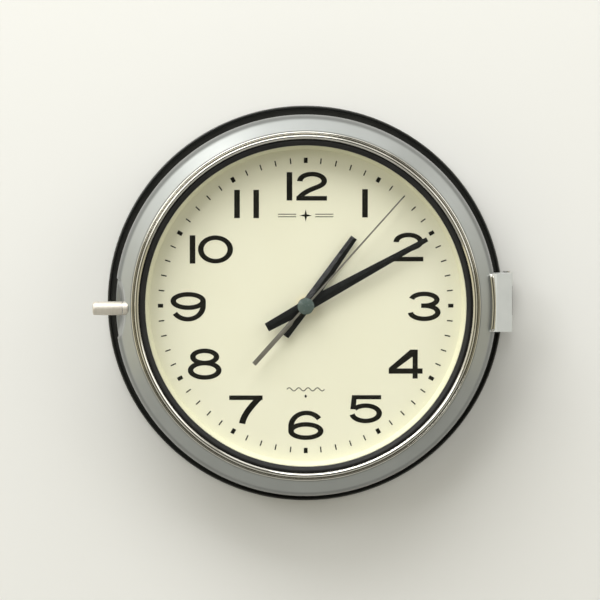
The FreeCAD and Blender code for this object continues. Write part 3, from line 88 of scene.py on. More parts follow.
def arc(start, end, radius, steps=12):
    """Points between start and end on a circle. A positive radius bows to the left of the way."""
    (x0, y0), (x1, y1) = start[:2], end[:2]
    half = math.hypot(x1 - x0, y1 - y0) / 2
    rise = math.sqrt(max(radius * radius - half * half, 0))
    side = 1 if radius > 0 else -1
    cx = (x0 + x1) / 2 + side * rise * (y1 - y0) / (2 * half)
    cy = (y0 + y1) / 2 - side * rise * (x1 - x0) / (2 * half)
    first = math.atan2(y0 - cy, x0 - cx)
    sweep = (math.atan2(y1 - cy, x1 - cx) - first + math.pi) % TURN - math.pi
    size = abs(radius)
    return [
        (cx + size * math.cos(first + sweep * k / steps),
         cy + size * math.sin(first + sweep * k / steps))
        for k in range(1, steps)
    ]


def softened(outline):
    """A closed outline with each corner (x, y, rounding) replaced by an arc of that radius."""
    result = []
    count = len(outline)
    for k, point in enumerate(outline):
        if len(point) < 3 or point[2] <= 0:
            result.append(point[:2])
            continue
        here = Vector(point[:2])
        before = Vector(outline[k - 1][:2]) - here
        after = Vector(outline[(k + 1) % count][:2]) - here
        turn = math.pi - before.angle(after)
        if turn < CORNER_STEP / 2:
            result.append(point[:2])
            continue
        setback = point[2] * math.tan(turn / 2)
        setback = min(setback, before.length * CORNER_SHARE, after.length * CORNER_SHARE)
        radius = setback / math.tan(turn / 2)
        start = here + before.normalized() * setback
        end = here + after.normalized() * setback
        left = before.x * after.y - before.y * after.x > 0
        steps = max(2, math.ceil(turn / CORNER_STEP))
        result.append(tuple(start))
        result += arc(start, end, radius if left else -radius, steps)
        result.append(tuple(end))
    return result


def curve(p0, p1, p2, p3, steps=16):
    """Points on a cubic Bezier curve, without its first point."""
    points = []
    for k in range(1, steps + 1):
        t = k / steps
        weights = ((1 - t) ** 3, 3 * t * (1 - t) ** 2, 3 * t * t * (1 - t), t ** 3)
        points.append(tuple(
            sum(w * p[axis] for w, p in zip(weights, (p0, p1, p2, p3))) for axis in (0, 1)))
    return points


def even_angles(count=ROUND_STEPS):
    """Equal steps round a whole turn."""
    return [TURN * k / count for k in range(count)]


def about_dial(radius, angle, along):
    """A point about the dial's axis, at a depth."""
    return (radius * math.cos(angle), -along, radius * math.sin(angle))


def lathe(outline, angles=None, place=about_dial):
    """A mesh turned about an axis. place(radius, angle, along) gives the point."""
    angles = angles or even_angles()
    shape = bmesh.new()
    rings = []
    for radius, along in outline:
        if radius < ON_AXIS:
            rings.append([shape.verts.new(place(0, 0, along))])
        else:
            rings.append([shape.verts.new(place(radius, a, along)) for a in angles])
    for first, second in zip(rings, rings[1:] + rings[:1]):
        for k in range(len(angles)):
            n = (k + 1) % len(angles)
            corners = [first[k % len(first)], first[n % len(first)],
                       second[n % len(second)], second[k % len(second)]]
            unique = list(dict.fromkeys(corners))
            if len(unique) > 2:
                shape.faces.new(unique)
    return shape


def prism(outline, low, high, place, bevel=0.0):
    """A slab with that outline between two levels. place(x, y, level) gives the point."""
    shape = bmesh.new()
    bottom = [shape.verts.new(place(x, y, low)) for x, y in outline]
    top = [shape.verts.new(place(x, y, high)) for x, y in outline]
    shape.faces.new(bottom)
    shape.faces.new(top)
    for k in range(len(outline)):
        n = (k + 1) % len(outline)
        shape.faces.new([bottom[k], bottom[n], top[n], top[k]])
    bmesh.ops.recalc_face_normals(shape, faces=shape.faces)
    if bevel:
        bmesh.ops.bevel(shape, geom=shape.edges[:], offset=bevel, segments=2, profile=0.5,
                        affect="EDGES", clamp_overlap=True)
    return shape


def on_dial(x, y, level):
    """A point of a drawing on the dial, x to the right and y up, at a depth."""
    return (x, -level, y)


def piece(name, shape, body, finish, replaces=(), sharp=SHARP):
    """A finished object from a bmesh: smooth, riding its body, with its material."""
    bmesh.ops.recalc_face_normals(shape, faces=shape.faces)
    mesh = bpy.data.meshes.new(name)
    shape.to_mesh(mesh)
    shape.free()
    mesh.shade_smooth()
    mesh.set_sharp_from_angle(angle=sharp)
    thing = bpy.data.objects.new(name, mesh)
    bpy.context.scene.collection.objects.link(thing)
    mesh.materials.append(finish)
    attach(thing, body)
    if replaces:
        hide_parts(*replaces)
    return thing


def joined(shapes):
    """One bmesh from several."""
    whole = bmesh.new()
    for shape in shapes:
        mesh = bpy.data.meshes.new("part")
        shape.to_mesh(mesh)
        whole.from_mesh(mesh)
        bpy.data.meshes.remove(mesh)
        shape.free()
    return whole


# ---------------------------------------------------------------- materials

SHOULDER_FRONT = 50.4 * MM          # depths between which painted shade darkens the cover's lacquer towards its sides
SHOULDER_BACK = 48.6 * MM
# painted shade: the share of its colour that the cover keeps on its sides
PAINTED_SIDE_SHADE = (0.5, 0.5, 0.505)
DRIFT_LOW = 0.3                     # the part of a noise's range over which a shade or a gloss drifts
DRIFT_HIGH = 0.7


def new_material(name, color, **sockets):
    """A Principled material; each keyword names a socket, with _ for a space."""
    material = bpy.data.materials.new(name)
    material.use_nodes = True
    shader = material.node_tree.nodes["Principled BSDF"]
    shader.inputs["Base Color"].default_value = (*color, 1)
    for socket, value in sockets.items():
        shader.inputs[socket.replace("_", " ")].default_value = value
    return material


def add_node(material, kind, **sockets):
    """A shader node with its sockets set, with _ for a space."""
    made = material.node_tree.nodes.new(kind)
    for socket, value in sockets.items():
        made.inputs[socket.replace("_", " ")].default_value = value
    return made


def link(material, source, output, target, socket):
    """A link between two nodes of a material, by the name or the number of each socket."""
    material.node_tree.links.new(source.outputs[output], target.inputs[socket])


def object_point(material, stretch=(1, 1, 1)):
    """The surface point in metres, stretched so that a pattern can run one way."""
    spot = add_node(material, "ShaderNodeTexCoord")
    scaled = add_node(material, "ShaderNodeMapping", Scale=stretch)
    link(material, spot, "Object", scaled, "Vector")
    return scaled


def noise(material, size, detail=3.0, stretch=(1, 1, 1)):
    """A noise whose features are about size metres across."""
    pattern = add_node(material, "ShaderNodeTexNoise", Scale=1 / size, Detail=detail)
    link(material, object_point(material, stretch), "Vector", pattern, "Vector")
    return pattern


def ramp(material, source, output, stops):
    """A colour ramp over source with (position, colour) stops."""
    colors = add_node(material, "ShaderNodeValToRGB")
    elements = colors.color_ramp.elements
    while len(elements) < len(stops):
        elements.new(1)
    for element, (position, color) in zip(elements, stops):
        element.position = position
        element.color = (*color, 1)
    link(material, source, output, colors, "Fac")
    return colors


def shader_of(material):
    """The material's Principled shader."""
    return material.node_tree.nodes["Principled BSDF"]


def tint(material, size, dark, light, stretch=(1, 1, 1)):
    """Base colour that drifts between two near shades."""
    shades = ramp(material, noise(material, size, stretch=stretch), "Fac",
                  [(DRIFT_LOW, dark), (DRIFT_HIGH, light)])
    link(material, shades, "Color", shader_of(material), "Base Color")


def gloss(material, size, low, high, stretch=(1, 1, 1)):
    """Roughness that drifts between two values."""
    scaled = add_node(material, "ShaderNodeMapRange", From_Min=DRIFT_LOW, From_Max=DRIFT_HIGH,
                      To_Min=low, To_Max=high)
    link(material, noise(material, size, 4.0, stretch), "Fac", scaled, "Value")
    link(material, scaled, "Result", shader_of(material), "Roughness")


def grain(material, size, height, strength=0.3, stretch=(1, 1, 1)):
    """A fine bump of that feature size and height, both in metres."""
    bump = add_node(material, "ShaderNodeBump", Strength=strength, Distance=height)
    link(material, noise(material, size, 2.0, stretch), "Fac", bump, "Height")
    link(material, bump, "Normal", shader_of(material), "Normal")


def enamel_black():
    """Stove enamel on the wall flange, a little worn."""
    made = new_material("flange_black", (0.008, 0.008, 0.007), Coat_Weight=0.3,
                        Coat_Roughness=0.18, Specular_IOR_Level=0.4)
    tint(made, 0.02, (0.014, 0.015, 0.013), (0.021, 0.021, 0.018))
    gloss(made, 0.006, 0.28, 0.42)
    grain(made, 0.0012, 0.00004)
    return made


def dome_grey():
    """Metallic lacquer, darkened by painted shade from the shoulder back to the wall, lighter on the
    front.
    """
    made = new_material("dome_grey", (0.33, 0.34, 0.33), Metallic=0.55, Coat_Weight=0.4,
                        Coat_Roughness=0.16, Specular_IOR_Level=0.4)
    mottle = ramp(made, noise(made, 0.03), "Fac",
                  [(DRIFT_LOW, (0.335, 0.35, 0.34)), (DRIFT_HIGH, (0.365, 0.38, 0.37))])
    # painted shade: the base colour darkens with depth behind the shoulder, for the shade on the cover's
    # sides
    split = add_node(made, "ShaderNodeSeparateXYZ")
    link(made, object_point(made), "Vector", split, "Vector")
    depth = add_node(made, "ShaderNodeMapRange", From_Min=-SHOULDER_FRONT, From_Max=-SHOULDER_BACK)
    depth.interpolation_type = "SMOOTHSTEP"
    link(made, split, "Y", depth, "Value")
    shade = ramp(made, depth, "Result", [(0, (1, 1, 1)), (1, PAINTED_SIDE_SHADE)])
    blend = add_node(made, "ShaderNodeMix")
    blend.data_type = "RGBA"
    blend.blend_type = "MULTIPLY"
    blend.inputs["Factor"].default_value = 1.0
    link(made, mottle, "Color", blend, 6)
    link(made, shade, "Color", blend, 7)
    link(made, blend, 2, shader_of(made), "Base Color")
    gloss(made, 0.012, 0.28, 0.34)
    grain(made, 0.0022, 0.00002, 0.06)
    return made


def chrome():
    # chrome's own reflectance, with a warm tint that is painted reflection: it stands in for the tan and
    # olive tones seen in the ring
    made = new_material("chrome", (0.60, 0.58, 0.53), Metallic=1.0)
    tint(made, 0.02, (0.57, 0.555, 0.50), (0.62, 0.605, 0.55))
    gloss(made, 0.008, 0.05, 0.08)
    grain(made, 0.004, 0.00001, 0.006)
    return made


def rubber():
    made = new_material("black_rubber", (0.006, 0.006, 0.006), Specular_IOR_Level=0.35)
    tint(made, 0.01, (0.005, 0.005, 0.005), (0.011, 0.011, 0.010))
    gloss(made, 0.003, 0.42, 0.6)
    grain(made, 0.0005, 0.00002)
    return made


def clear_glass():
    return new_material("clear_glass", (1, 1, 1), Roughness=0.0, IOR=1.5, Transmission_Weight=1.0)


def cream(name, dark, light):
    """Matt cream paint, for the dial and for the ring round it."""
    made = new_material(name, light, Specular_IOR_Level=0.25)
    tint(made, 0.05, dark, light)
    gloss(made, 0.01, 0.45, 0.55)
    grain(made, 0.0015, 0.00002, 0.08)
    return made


def print_black():
    made = new_material("print_black", (0.006, 0.006, 0.004), Specular_IOR_Level=0.15)
    tint(made, 0.004, (0.005, 0.005, 0.003), (0.008, 0.008, 0.005))
    gloss(made, 0.002, 0.35, 0.5)
    return made


def satin_alloy():
    """Alloy with fine turning marks round the knob's axis, which is along X."""
    made = new_material("satin_alloy", (0.64, 0.60, 0.53), Metallic=0.6)
    tint(made, 0.0012, (0.61, 0.57, 0.50), (0.67, 0.63, 0.56), (1, 0.15, 0.15))
    gloss(made, 0.0008, 0.4, 0.5, (1, 0.1, 0.1))
    grain(made, 0.0004, 0.000003, 0.1, (1, 0.05, 0.05))
    return made


def hinge_grey():
    made = new_material("hinge_grey", (0.59, 0.61, 0.59), Metallic=0.2, Coat_Weight=0.3,
                        Coat_Roughness=0.25)
    tint(made, 0.01, (0.57, 0.59, 0.575), (0.61, 0.63, 0.61))
    gloss(made, 0.004, 0.34, 0.44)
    grain(made, 0.0008, 0.00002, 0.15)
    return made


def metal(name, dark, light, low, high, size=0.004):
    """A bare metal between two shades, its roughness between low and high."""
    made = new_material(name, light, Metallic=1.0)
    tint(made, size, dark, light)
    gloss(made, size / 2, low, high)
    grain(made, size / 8, 0.00001, 0.05)
    return made


def plastic(name, dark, light, low, high, size=0.006):
    """A moulded or painted piece between two shades, its roughness between low and high."""
    made = new_material(name, light, Specular_IOR_Level=0.5)
    tint(made, size, dark, light)
    gloss(made, size / 2, low, high)
    grain(made, size / 10, 0.00002, 0.2)
    return made


def hand_black():
    made = new_material("hand_black", (0.008, 0.009, 0.009), Coat_Weight=0.12, Coat_Roughness=0.1,
                        Coat_IOR=1.6, Specular_IOR_Level=0.1)
    tint(made, 0.004, (0.006, 0.007, 0.007), (0.011, 0.012, 0.012))
    gloss(made, 0.002, 0.16, 0.24)
    return made


def winding():
    """Fine copper wire, wound round an axis along X."""
    made = new_material("copper_wire", (0.65, 0.25, 0.1), Metallic=1.0)
    tint(made, 0.002, (0.50, 0.17, 0.06), (0.72, 0.30, 0.13))
    gloss(made, 0.001, 0.25, 0.4)
    turns = add_node(made, "ShaderNodeTexWave", Scale=1600.0)
    link(made, object_point(made), "Vector", turns, "Vector")
    bump = add_node(made, "ShaderNodeBump", Strength=0.5, Distance=0.0001)
    link(made, turns, "Fac", bump, "Height")
    link(made, bump, "Normal", shader_of(made), "Normal")
    return made


# One finish for each slot, and a darker copy of the dial's cream for the ring round it, which paints in
# the shade of the recess between dial and glass.
FINISHES = {
    "flange_black": enamel_black(),
    "dome_grey": dome_grey(),
    "chrome": chrome(),
    "clear_glass": clear_glass(),
    "black_rubber": rubber(),
    "dial_cream": cream("dial_cream", (0.843, 0.833, 0.648), (0.863, 0.853, 0.675)),
    # painted shade: the ring's cream is darker than the dial's, for the shade in the recess
    "shaded_ring_cream": cream("shaded_ring_cream", (0.80, 0.79, 0.59), (0.82, 0.81, 0.61)),
    "satin_alloy": satin_alloy(),
    "hinge_grey": hinge_grey(),
    "bright_steel": metal("bright_steel", (0.52, 0.51, 0.50), (0.66, 0.65, 0.63), 0.2, 0.34),
    "zinc_sheet": metal("zinc_sheet", (0.40, 0.41, 0.42), (0.58, 0.59, 0.59), 0.3, 0.5, 0.012),
    "brass": metal("brass", (0.55, 0.38, 0.13), (0.70, 0.52, 0.22), 0.2, 0.35),
    "movement_black": plastic("movement_black", (0.010, 0.010, 0.011), (0.018, 0.018, 0.02),
                              0.35, 0.5),
    "gear_white": plastic("gear_white", (0.66, 0.65, 0.60), (0.76, 0.75, 0.71), 0.35, 0.5),
    "copper_wire": winding(),
    "magnet_dark": metal("magnet_dark", (0.06, 0.06, 0.065), (0.12, 0.12, 0.125), 0.3, 0.45),
    "board_green": plastic("board_green", (0.01, 0.10, 0.04), (0.02, 0.16, 0.07), 0.3, 0.4),
    "cell_jacket": plastic("cell_jacket", (0.05, 0.08, 0.22), (0.07, 0.11, 0.28), 0.2, 0.3, 0.02),
    "hand_black": hand_black(),
    "boss_slate": plastic("boss_slate", (0.075, 0.105, 0.095), (0.095, 0.13, 0.115), 0.2, 0.3),
    "second_grey": plastic("second_grey", (0.13, 0.125, 0.10), (0.17, 0.16, 0.13), 0.3, 0.42),
}
PRINT = print_black()


def dress_cad_nodes():
    """Every CAD node takes the procedural material of its own slot."""
    for part in frame["record"]["subparts"]:
        data = NODES[part["node"]].data
        data.materials.clear()
        data.materials.append(FINISHES[part["material_slot"]])


dress_cad_nodes()


# ---------------------------------------------------------------- wall flange

PLATE = 1.5 * MM
RIM_WIDTH = 1.5 * MM
HATCH_GAP = 0.3 * MM
WALL_HOLE_CIRCLE = 102 * MM
WALL_HOLE_RADIUS = 2.5 * MM
WALL_HOLE_ANGLES = (90, 210, 330)


def round_hole(radius, circle, angle, low, high, count=32):
    """A plug along the dial's axis direction, to cut a hole with."""
    x = circle * math.cos(math.radians(angle))
    y = circle * math.sin(math.radians(angle))
    outline = [(x + radius * math.cos(a), y + radius * math.sin(a)) for a in even_angles(count)]
    return prism(outline, low, high, on_dial)


def combined(base, others, operation):
    """The base with the other shapes cut from it or joined to it."""
    meshes = []
    things = []
    for shape in [base, *others]:
        bmesh.ops.recalc_face_normals(shape, faces=shape.faces)
        mesh = bpy.data.meshes.new("working")
        shape.to_mesh(mesh)
        shape.free()
        thing = bpy.data.objects.new("working", mesh)
        bpy.context.scene.collection.objects.link(thing)
        meshes.append(mesh)
        things.append(thing)
    for tool in things[1:]:
        modifier = things[0].modifiers.new("combine", "BOOLEAN")
        modifier.operation = operation
        modifier.solver = "EXACT"
        modifier.object = tool
    bpy.context.view_layer.update()
    final = things[0].evaluated_get(bpy.context.evaluated_depsgraph_get())
    result = bmesh.new()
    result.from_mesh(final.to_mesh())
    final.to_mesh_clear()
    for thing in things:
        bpy.data.objects.remove(thing)
    for mesh in meshes:
        bpy.data.meshes.remove(mesh)
    return result


def back_plate():
    """The pressed wall flange with its rolled rim, the hatch opening and the wall holes."""
    rim = reach("back_plate")
    edge = front("back_plate")
    soft = 0.6 * MM
    disc = lathe(softened([
        (0, 0), (rim, 0, soft), (rim, edge, soft * 1.2), (rim - RIM_WIDTH, edge, soft),
        (rim - RIM_WIDTH, PLATE, soft), (0, PLATE),
    ]))
    low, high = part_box("battery_hatch")
    outline = [
        (low.x - HATCH_GAP, low.z - HATCH_GAP), (high.x + HATCH_GAP, low.z - HATCH_GAP),
        (high.x + HATCH_GAP, high.z + HATCH_GAP), (low.x - HATCH_GAP, high.z + HATCH_GAP),
    ]
    tools = [prism(outline, -PLATE, PLATE * 2, on_dial)]
    for angle in WALL_HOLE_ANGLES:
        tools.append(round_hole(WALL_HOLE_RADIUS, WALL_HOLE_CIRCLE, angle, -PLATE, PLATE * 2))
    piece("wall_flange", combined(disc, tools, "DIFFERENCE"), "case",
          FINISHES["flange_black"], ["back_plate"])


back_plate()


# ---------------------------------------------------------------- cover shell

SHEET = 1.5 * MM
SHOULDER_BEND = 11 * MM
LATCH_LEVEL = middle("latch_bush").z
LATCH_DEPTH = -middle("latch_bush").y
KNOB_RADIUS = (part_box("latch_bush")[1].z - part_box("latch_bush")[0].z) / 2
POCKET_HALF = 18 * MM
POCKET_BACK = 30 * MM
POCKET_REACH = 105.5 * MM
POCKET_DEPTH = 53 * MM
POCKET_SLOPE = 0.196
POCKET_RISE = 2.5 * MM              # the floor is shallower towards the pocket's two ends
POCKET_BLEND = 2.6 * MM
POCKET_EDGE = 0.5 * MM
FINE_MARGIN = 2 * MM                # the mesh is fine this far behind the pocket
FINE_SIZE = 0.7 * MM                # the longest piece of outline in the fine stretch
FINE_HALF = math.radians(12)        # half the stretch of fine steps round the axis
FINE_STEP = math.radians(0.22)
SHELL_EDGE = 0.35 * MM
CORNER_LEAST = math.radians(20)     # a rim's edge is rounded where its faces turn more than this


def fade(distance, width):
    """0 below zero, 1 above width, smooth between."""
    share = min(max(distance / width, 0), 1)
    return share * share * (3 - 2 * share)


def pressed(point, margin):
    """The point moved on to the floor of the finger pocket where the sheet is pressed in."""
    x, y, z = point
    along = (z - LATCH_LEVEL) / POCKET_HALF
    floor_x = -POCKET_REACH - (POCKET_DEPTH + y) * POCKET_SLOPE + margin
    floor_x -= POCKET_RISE * along * along
    weight = fade(POCKET_HALF + margin - abs(z - LATCH_LEVEL), POCKET_BLEND)
    weight *= fade(-y - POCKET_BACK + margin, POCKET_BLEND)
    if weight == 0 or x > floor_x + 6 * POCKET_EDGE:
        return point
    gap = x - floor_x
    onto = (x + floor_x + math.sqrt(gap * gap + POCKET_EDGE * POCKET_EDGE)) / 2
    return (x + (onto - x) * weight, y, z)


def cover_outline():
    """The cover's outer line, foot to mouth, in points of (radius, depth)."""
    foot = (reach("cover_shell"), back("cover_shell"))
    start = (foot[0] - 1.0 * MM, 42 * MM)
    end = (foot[0] - 5.0 * MM, 50.5 * MM)
    mouth = (foot[0] - 11.0 * MM, front("cover_shell"))
    return foot, start, end, mouth


def cover_shell():
    """The domed sheet cover, fine where the finger pocket is pressed into it."""
    foot, start, end, mouth = cover_outline()
    slope = math.atan2(end[0] - mouth[0], mouth[1] - end[1])
    inner_end = (end[0] - SHEET * math.cos(slope), end[1] - SHEET * math.sin(slope))
    lip = mouth[1] - 1.6 * MM
    inner_lip = inner_end[0] - (lip - inner_end[1]) * math.tan(slope)
    mouth_radius = mouth[0] - SHEET
    waist = (foot[0] - 0.7 * MM, 28 * MM)
    outside = [foot, waist]
    outside += [start, *arc(start, end, -SHOULDER_BEND, 24), end, mouth]
    inside_start = (start[0] - SHEET, start[1])
    inside = [(mouth_radius, mouth[1]), (mouth_radius, lip), (inner_lip, lip), inner_end]
    inside += arc(inner_end, inside_start, SHOULDER_BEND - SHEET, 16)
    inside += [inside_start, (waist[0] - SHEET, waist[1]), (foot[0] - SHEET, foot[1])]
    plain = POCKET_BACK - FINE_MARGIN
    outline = []
    loop = outside + inside
    for first, second in zip(loop, loop[1:] + loop[:1]):
        fine = min(first[1], second[1]) >= plain
        parts = max(1, math.ceil(math.dist(first, second) / FINE_SIZE)) if fine else 1
        for k in range(parts):
            outline.append((first[0] + (second[0] - first[0]) * k / parts,
                            first[1] + (second[1] - first[1]) * k / parts))
    turn_at_mouth = next(k for k, spot in enumerate(outline) if spot[0] == mouth_radius)
    margin_at = {spot: 0 if k < turn_at_mouth else SHEET for k, spot in enumerate(outline)}
    fine_count = round(2 * FINE_HALF / FINE_STEP)
    fine = [math.pi - FINE_HALF + FINE_STEP * k for k in range(fine_count)]
    rest = TURN - 2 * FINE_HALF
    coarse = [math.pi + FINE_HALF + rest * k / ROUND_STEPS for k in range(ROUND_STEPS)]

    def spot_on(radius, angle, along):
        return pressed(about_dial(radius, angle, along), margin_at[(radius, along)])

    shape = lathe(outline, fine + coarse, spot_on)
    corners = [k for k, spot in enumerate(outline) if spot in (foot, mouth, (mouth_radius, mouth[1]))]
    ring = len(fine + coarse)
    shape.verts.ensure_lookup_table()
    rims = {vertex for k in corners for vertex in shape.verts[k * ring:(k + 1) * ring]}
    edges = [line for line in shape.edges if all(v in rims for v in line.verts)
             and line.calc_face_angle(0) > CORNER_LEAST]
    bmesh.ops.recalc_face_normals(shape, faces=shape.faces)
    bmesh.ops.bevel(shape, geom=edges, offset=SHELL_EDGE, segments=3, profile=0.5, affect="EDGES",
                    clamp_overlap=True)
    piece("cover_dome", shape, "cover", FINISHES["dome_grey"], ["cover_shell"])


cover_shell()


# ---------------------------------------------------------------- hinge trim

TRIM_RADIUS = 110.3 * MM            # the trim's middle line, about the dial's axis
TRIM_DEPTH = 50.9 * MM
TRIM_HALF_WIDTH = 1.5 * MM
TRIM_HEIGHT = 1.25 * MM
TRIM_INSET = 0.4 * MM
TRIM_STEPS = 48
TRIM_AROUND = 20
TRIM_END_SIZES = (0.55, 0.85, 0.97)     # the bead's share of its full size at its last rings


def hinge_trim():
    """A polished half-round bead along the hinge block's curved edge on the cover's shoulder."""
    low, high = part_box("hinge_block")
    first = math.asin((low.z + TRIM_INSET) / TRIM_RADIUS)
    last = math.asin((high.z - TRIM_INSET) / TRIM_RADIUS)
    shape = bmesh.new()
    rings = []
    for k in range(TRIM_STEPS + 1):
        share = k / TRIM_STEPS
        angle = first + (last - first) * share
        end = min(k, TRIM_STEPS - k)
        size = TRIM_END_SIZES[end] if end < len(TRIM_END_SIZES) else 1
        ring = []
        for turn in even_angles(TRIM_AROUND):
            radius = TRIM_RADIUS + TRIM_HALF_WIDTH * size * math.cos(turn)
            depth = TRIM_DEPTH + TRIM_HEIGHT * size * math.sin(turn)
            ring.append(shape.verts.new(about_dial(radius, angle, depth)))
        rings.append(ring)
    for one_ring, next_ring in zip(rings, rings[1:]):
        for j in range(TRIM_AROUND):
            n = (j + 1) % TRIM_AROUND
            shape.faces.new([one_ring[j], one_ring[n], next_ring[n], next_ring[j]])
    shape.faces.new(rings[0])
    shape.faces.new(rings[-1])
    piece("hinge_trim", shape, "cover", FINISHES["chrome"])


hinge_trim()


# ---------------------------------------------------------------- bezel, glass, gasket

BEZEL_CLEARANCE = 0.4 * MM          # the ring stays this far inside its CAD node's rim
THIN_BEAD = 1.5 * MM
BEZEL_WALL = 2.0 * MM
MAIN_BEAD = 3.5 * MM                # from the groove to the lip on the gasket


def bezel():
    """Chrome ring: a thin outer bead, a groove, and the main bead round the glass."""
    rim = reach("bezel") - BEZEL_CLEARANCE
    seat = front("cover_shell")
    foot = back("bezel")
    skirt = rim - THIN_BEAD
    skirt_inner = skirt - BEZEL_WALL
    lip_back = front("glass_gasket")
    bead = seat + 0.8 * MM
    top = front("bezel") - 0.1 * MM
    apex = (skirt - 1.6 * MM, top)
    crown_start = (skirt - 0.4 * MM, bead)
    lip = (skirt - MAIN_BEAD, lip_back + 0.1 * MM)
    outer_slope = curve(crown_start, (skirt - 0.35 * MM, top - 1.2 * MM),
                        (skirt - 0.8 * MM, top), apex)
    inner_slope = curve(apex, (apex[0] - 0.8 * MM, top),
                        (lip[0] + 0.3 * MM, lip[1] + 1.1 * MM), lip)
    thin_start = (rim, bead)
    thin_end = (skirt, bead)
    tiny = 0.2 * MM
    outline = [
        (skirt_inner, foot, tiny), (skirt, foot, tiny), (skirt, seat), (rim, seat, tiny),
        thin_start, *arc(thin_start, thin_end, -0.8 * MM, 10), thin_end,
        (skirt - 0.2 * MM, bead - 0.35 * MM, tiny), crown_start, *outer_slope, *inner_slope,
        (lip[0], lip_back), (skirt_inner, lip_back),
    ]
    piece("bezel_ring", lathe(softened(outline)), "cover", FINISHES["chrome"], ["bezel"])


def gasket():
    """Black rubber channel round the edge of the glass, with a low ridge inside the bezel's lip."""
    outer = reach("glass_gasket")
    inner = outer - 4.7 * MM
    groove = reach("glass")
    soft = 0.4 * MM
    face = front("glass_gasket")
    ridge = face + 0.6 * MM
    outline = [
        (inner, back("glass_gasket"), soft), (outer, back("glass_gasket"), soft),
        (outer, face), (inner + 2.8 * MM, face),
        (inner + 2.6 * MM, ridge, soft / 2), (inner + 2.0 * MM, ridge, soft),
        (inner, face - 0.3 * MM, soft),
        (inner, front("glass")), (groove, front("glass")), (groove, back("glass")),
        (inner, back("glass")),
    ]
    piece("glass_channel", lathe(softened(outline)), "cover", FINISHES["black_rubber"],
          ["glass_gasket"])


def glass():
    """A flat pane with ground edges. Lamps and daylight reach the dial through it."""
    rim = reach("glass")
    soft = 0.3 * MM
    outline = [
        (0, back("glass")), (rim, back("glass"), soft), (rim, front("glass"), soft),
        (0, front("glass")),
    ]
    pane = piece("glass_pane", lathe(softened(outline)), "cover", FINISHES["clear_glass"],
                 ["glass"])
    pane.visible_shadow = False
    pane.visible_diffuse = False


def chapter_ring():
    """The pale sloping wall between the edge of the dial and the glass."""
    outer = reach("chapter_ring")
    foot = back("chapter_ring")
    top = front("chapter_ring")
    soft = 0.25 * MM
    inner_top = outer - 3.1 * MM
    step = foot + 2.5 * MM
    outline = [
        (outer - 5.2 * MM, foot), (outer, foot), (outer, step, soft),
        (outer - 1.9 * MM, step, soft), (inner_top + MM, top, soft), (inner_top, top, soft),
    ]
    # its darker cream paints in the shade that falls on the ring inside the bezel
    piece("rehaut", lathe(softened(outline)), "case", FINISHES["shaded_ring_cream"],
          ["chapter_ring"])


bezel()
gasket()
glass()
chapter_ring()


# ---------------------------------------------------------------- numbers and marks on the dial

PAPER = front("dial")
INK = 0.06 * MM
PEN_UPRIGHT = 1.62 * MM             # half the width of an upright stroke
PEN_LEVEL = 1.32 * MM               # half the width of a level stroke


def bow(cx, cy, rx, ry, first, last, steps=26):
    """Points on an ellipse, in millimetres, from one angle to another in degrees."""
    points = []
    for k in range(steps + 1):
        angle = math.radians(first + (last - first) * k / steps)
        points.append((cx + rx * math.cos(angle), cy + ry * math.sin(angle)))
    return points


def stroke(points, closed=False, upright=PEN_UPRIGHT, level=PEN_LEVEL):
    """Outlines of a pen stroke along points in millimetres: one ribbon, or two rings if closed."""
    left = []
    right = []
    count = len(points)
    for k, (x, y) in enumerate(points):
        before = points[(k - 1) % count if closed else max(k - 1, 0)]
        after = points[(k + 1) % count if closed else min(k + 1, count - 1)]
        dx, dy = after[0] - before[0], after[1] - before[1]
        length = math.hypot(dx, dy)
        across = (-dy / length * upright, dx / length * level)
        left.append((x * MM + across[0], y * MM + across[1]))
        right.append((x * MM - across[0], y * MM - across[1]))
    if closed:
        return left, right
    return left + right[::-1]


def slab(outline, origin, turn=0.0):
    """A thin printed shape on the dial. The outline is about origin and may be turned, in radians."""
    c, s = math.cos(turn), math.sin(turn)
    placed = [(origin[0] + x * c - y * s, origin[1] + x * s + y * c) for x, y in outline]
    return prism(placed, PAPER, PAPER + INK, on_dial)


def ring_slab(rings, origin):
    """A printed closed loop between two outlines with the same number of points."""
    shape = bmesh.new()
    levels = (PAPER, PAPER + INK)
    loops = [[[shape.verts.new(on_dial(origin[0] + x, origin[1] + y, level)) for x, y in ring]
              for level in levels] for ring in rings]
    (outer_low, outer_high), (inner_low, inner_high) = loops
    sides = (outer_low, outer_high, inner_high, inner_low)
    count = len(outer_low)
    for first, second in zip(sides, sides[1:] + sides[:1]):
        for k in range(count):
            n = (k + 1) % count
            shape.faces.new([first[k], first[n], second[n], second[k]])
    return shape


def bar(low, high):
    """Corners of an upright rectangle given in millimetres."""
    (x0, y0), (x1, y1) = low, high
    return [(x0 * MM, y0 * MM), (x1 * MM, y0 * MM), (x1 * MM, y1 * MM), (x0 * MM, y1 * MM)]


def scaled_mm(points):
    """Points in millimetres, turned into metres."""
    return [(x * MM, y * MM) for x, y in points]


def ellipse_ring(cx, cy, rx, ry):
    """A closed pen stroke round an ellipse, in millimetres."""
    return stroke(bow(cx, cy, rx, ry, 0, 360, 72)[:-1], closed=True)


# A figure is a list of strokes and bars about the figure's own centre.
def one():
    return [bar((-1.64, -8.25), (1.64, 8.25))]


def two():
    bowl = bow(0.2, 3.1, 7.1, 4.05, 182, 0)
    tail = curve(bowl[-1], (7.3, -0.9), (-3.2, -0.7), (-7.7, -7.2))
    return [stroke(bowl + tail), bar((-8.95, -8.3), (8.95, -5.65))]


def three():
    upper = bow(0, 3.85, 7.4, 3.45, 172, -90) + [(-1.8, 0.4)]
    lower = [(-1.8, 0.4)] + bow(0, -3.45, 8.0, 3.85, 90, -178)
    return [stroke(upper), stroke(lower)]


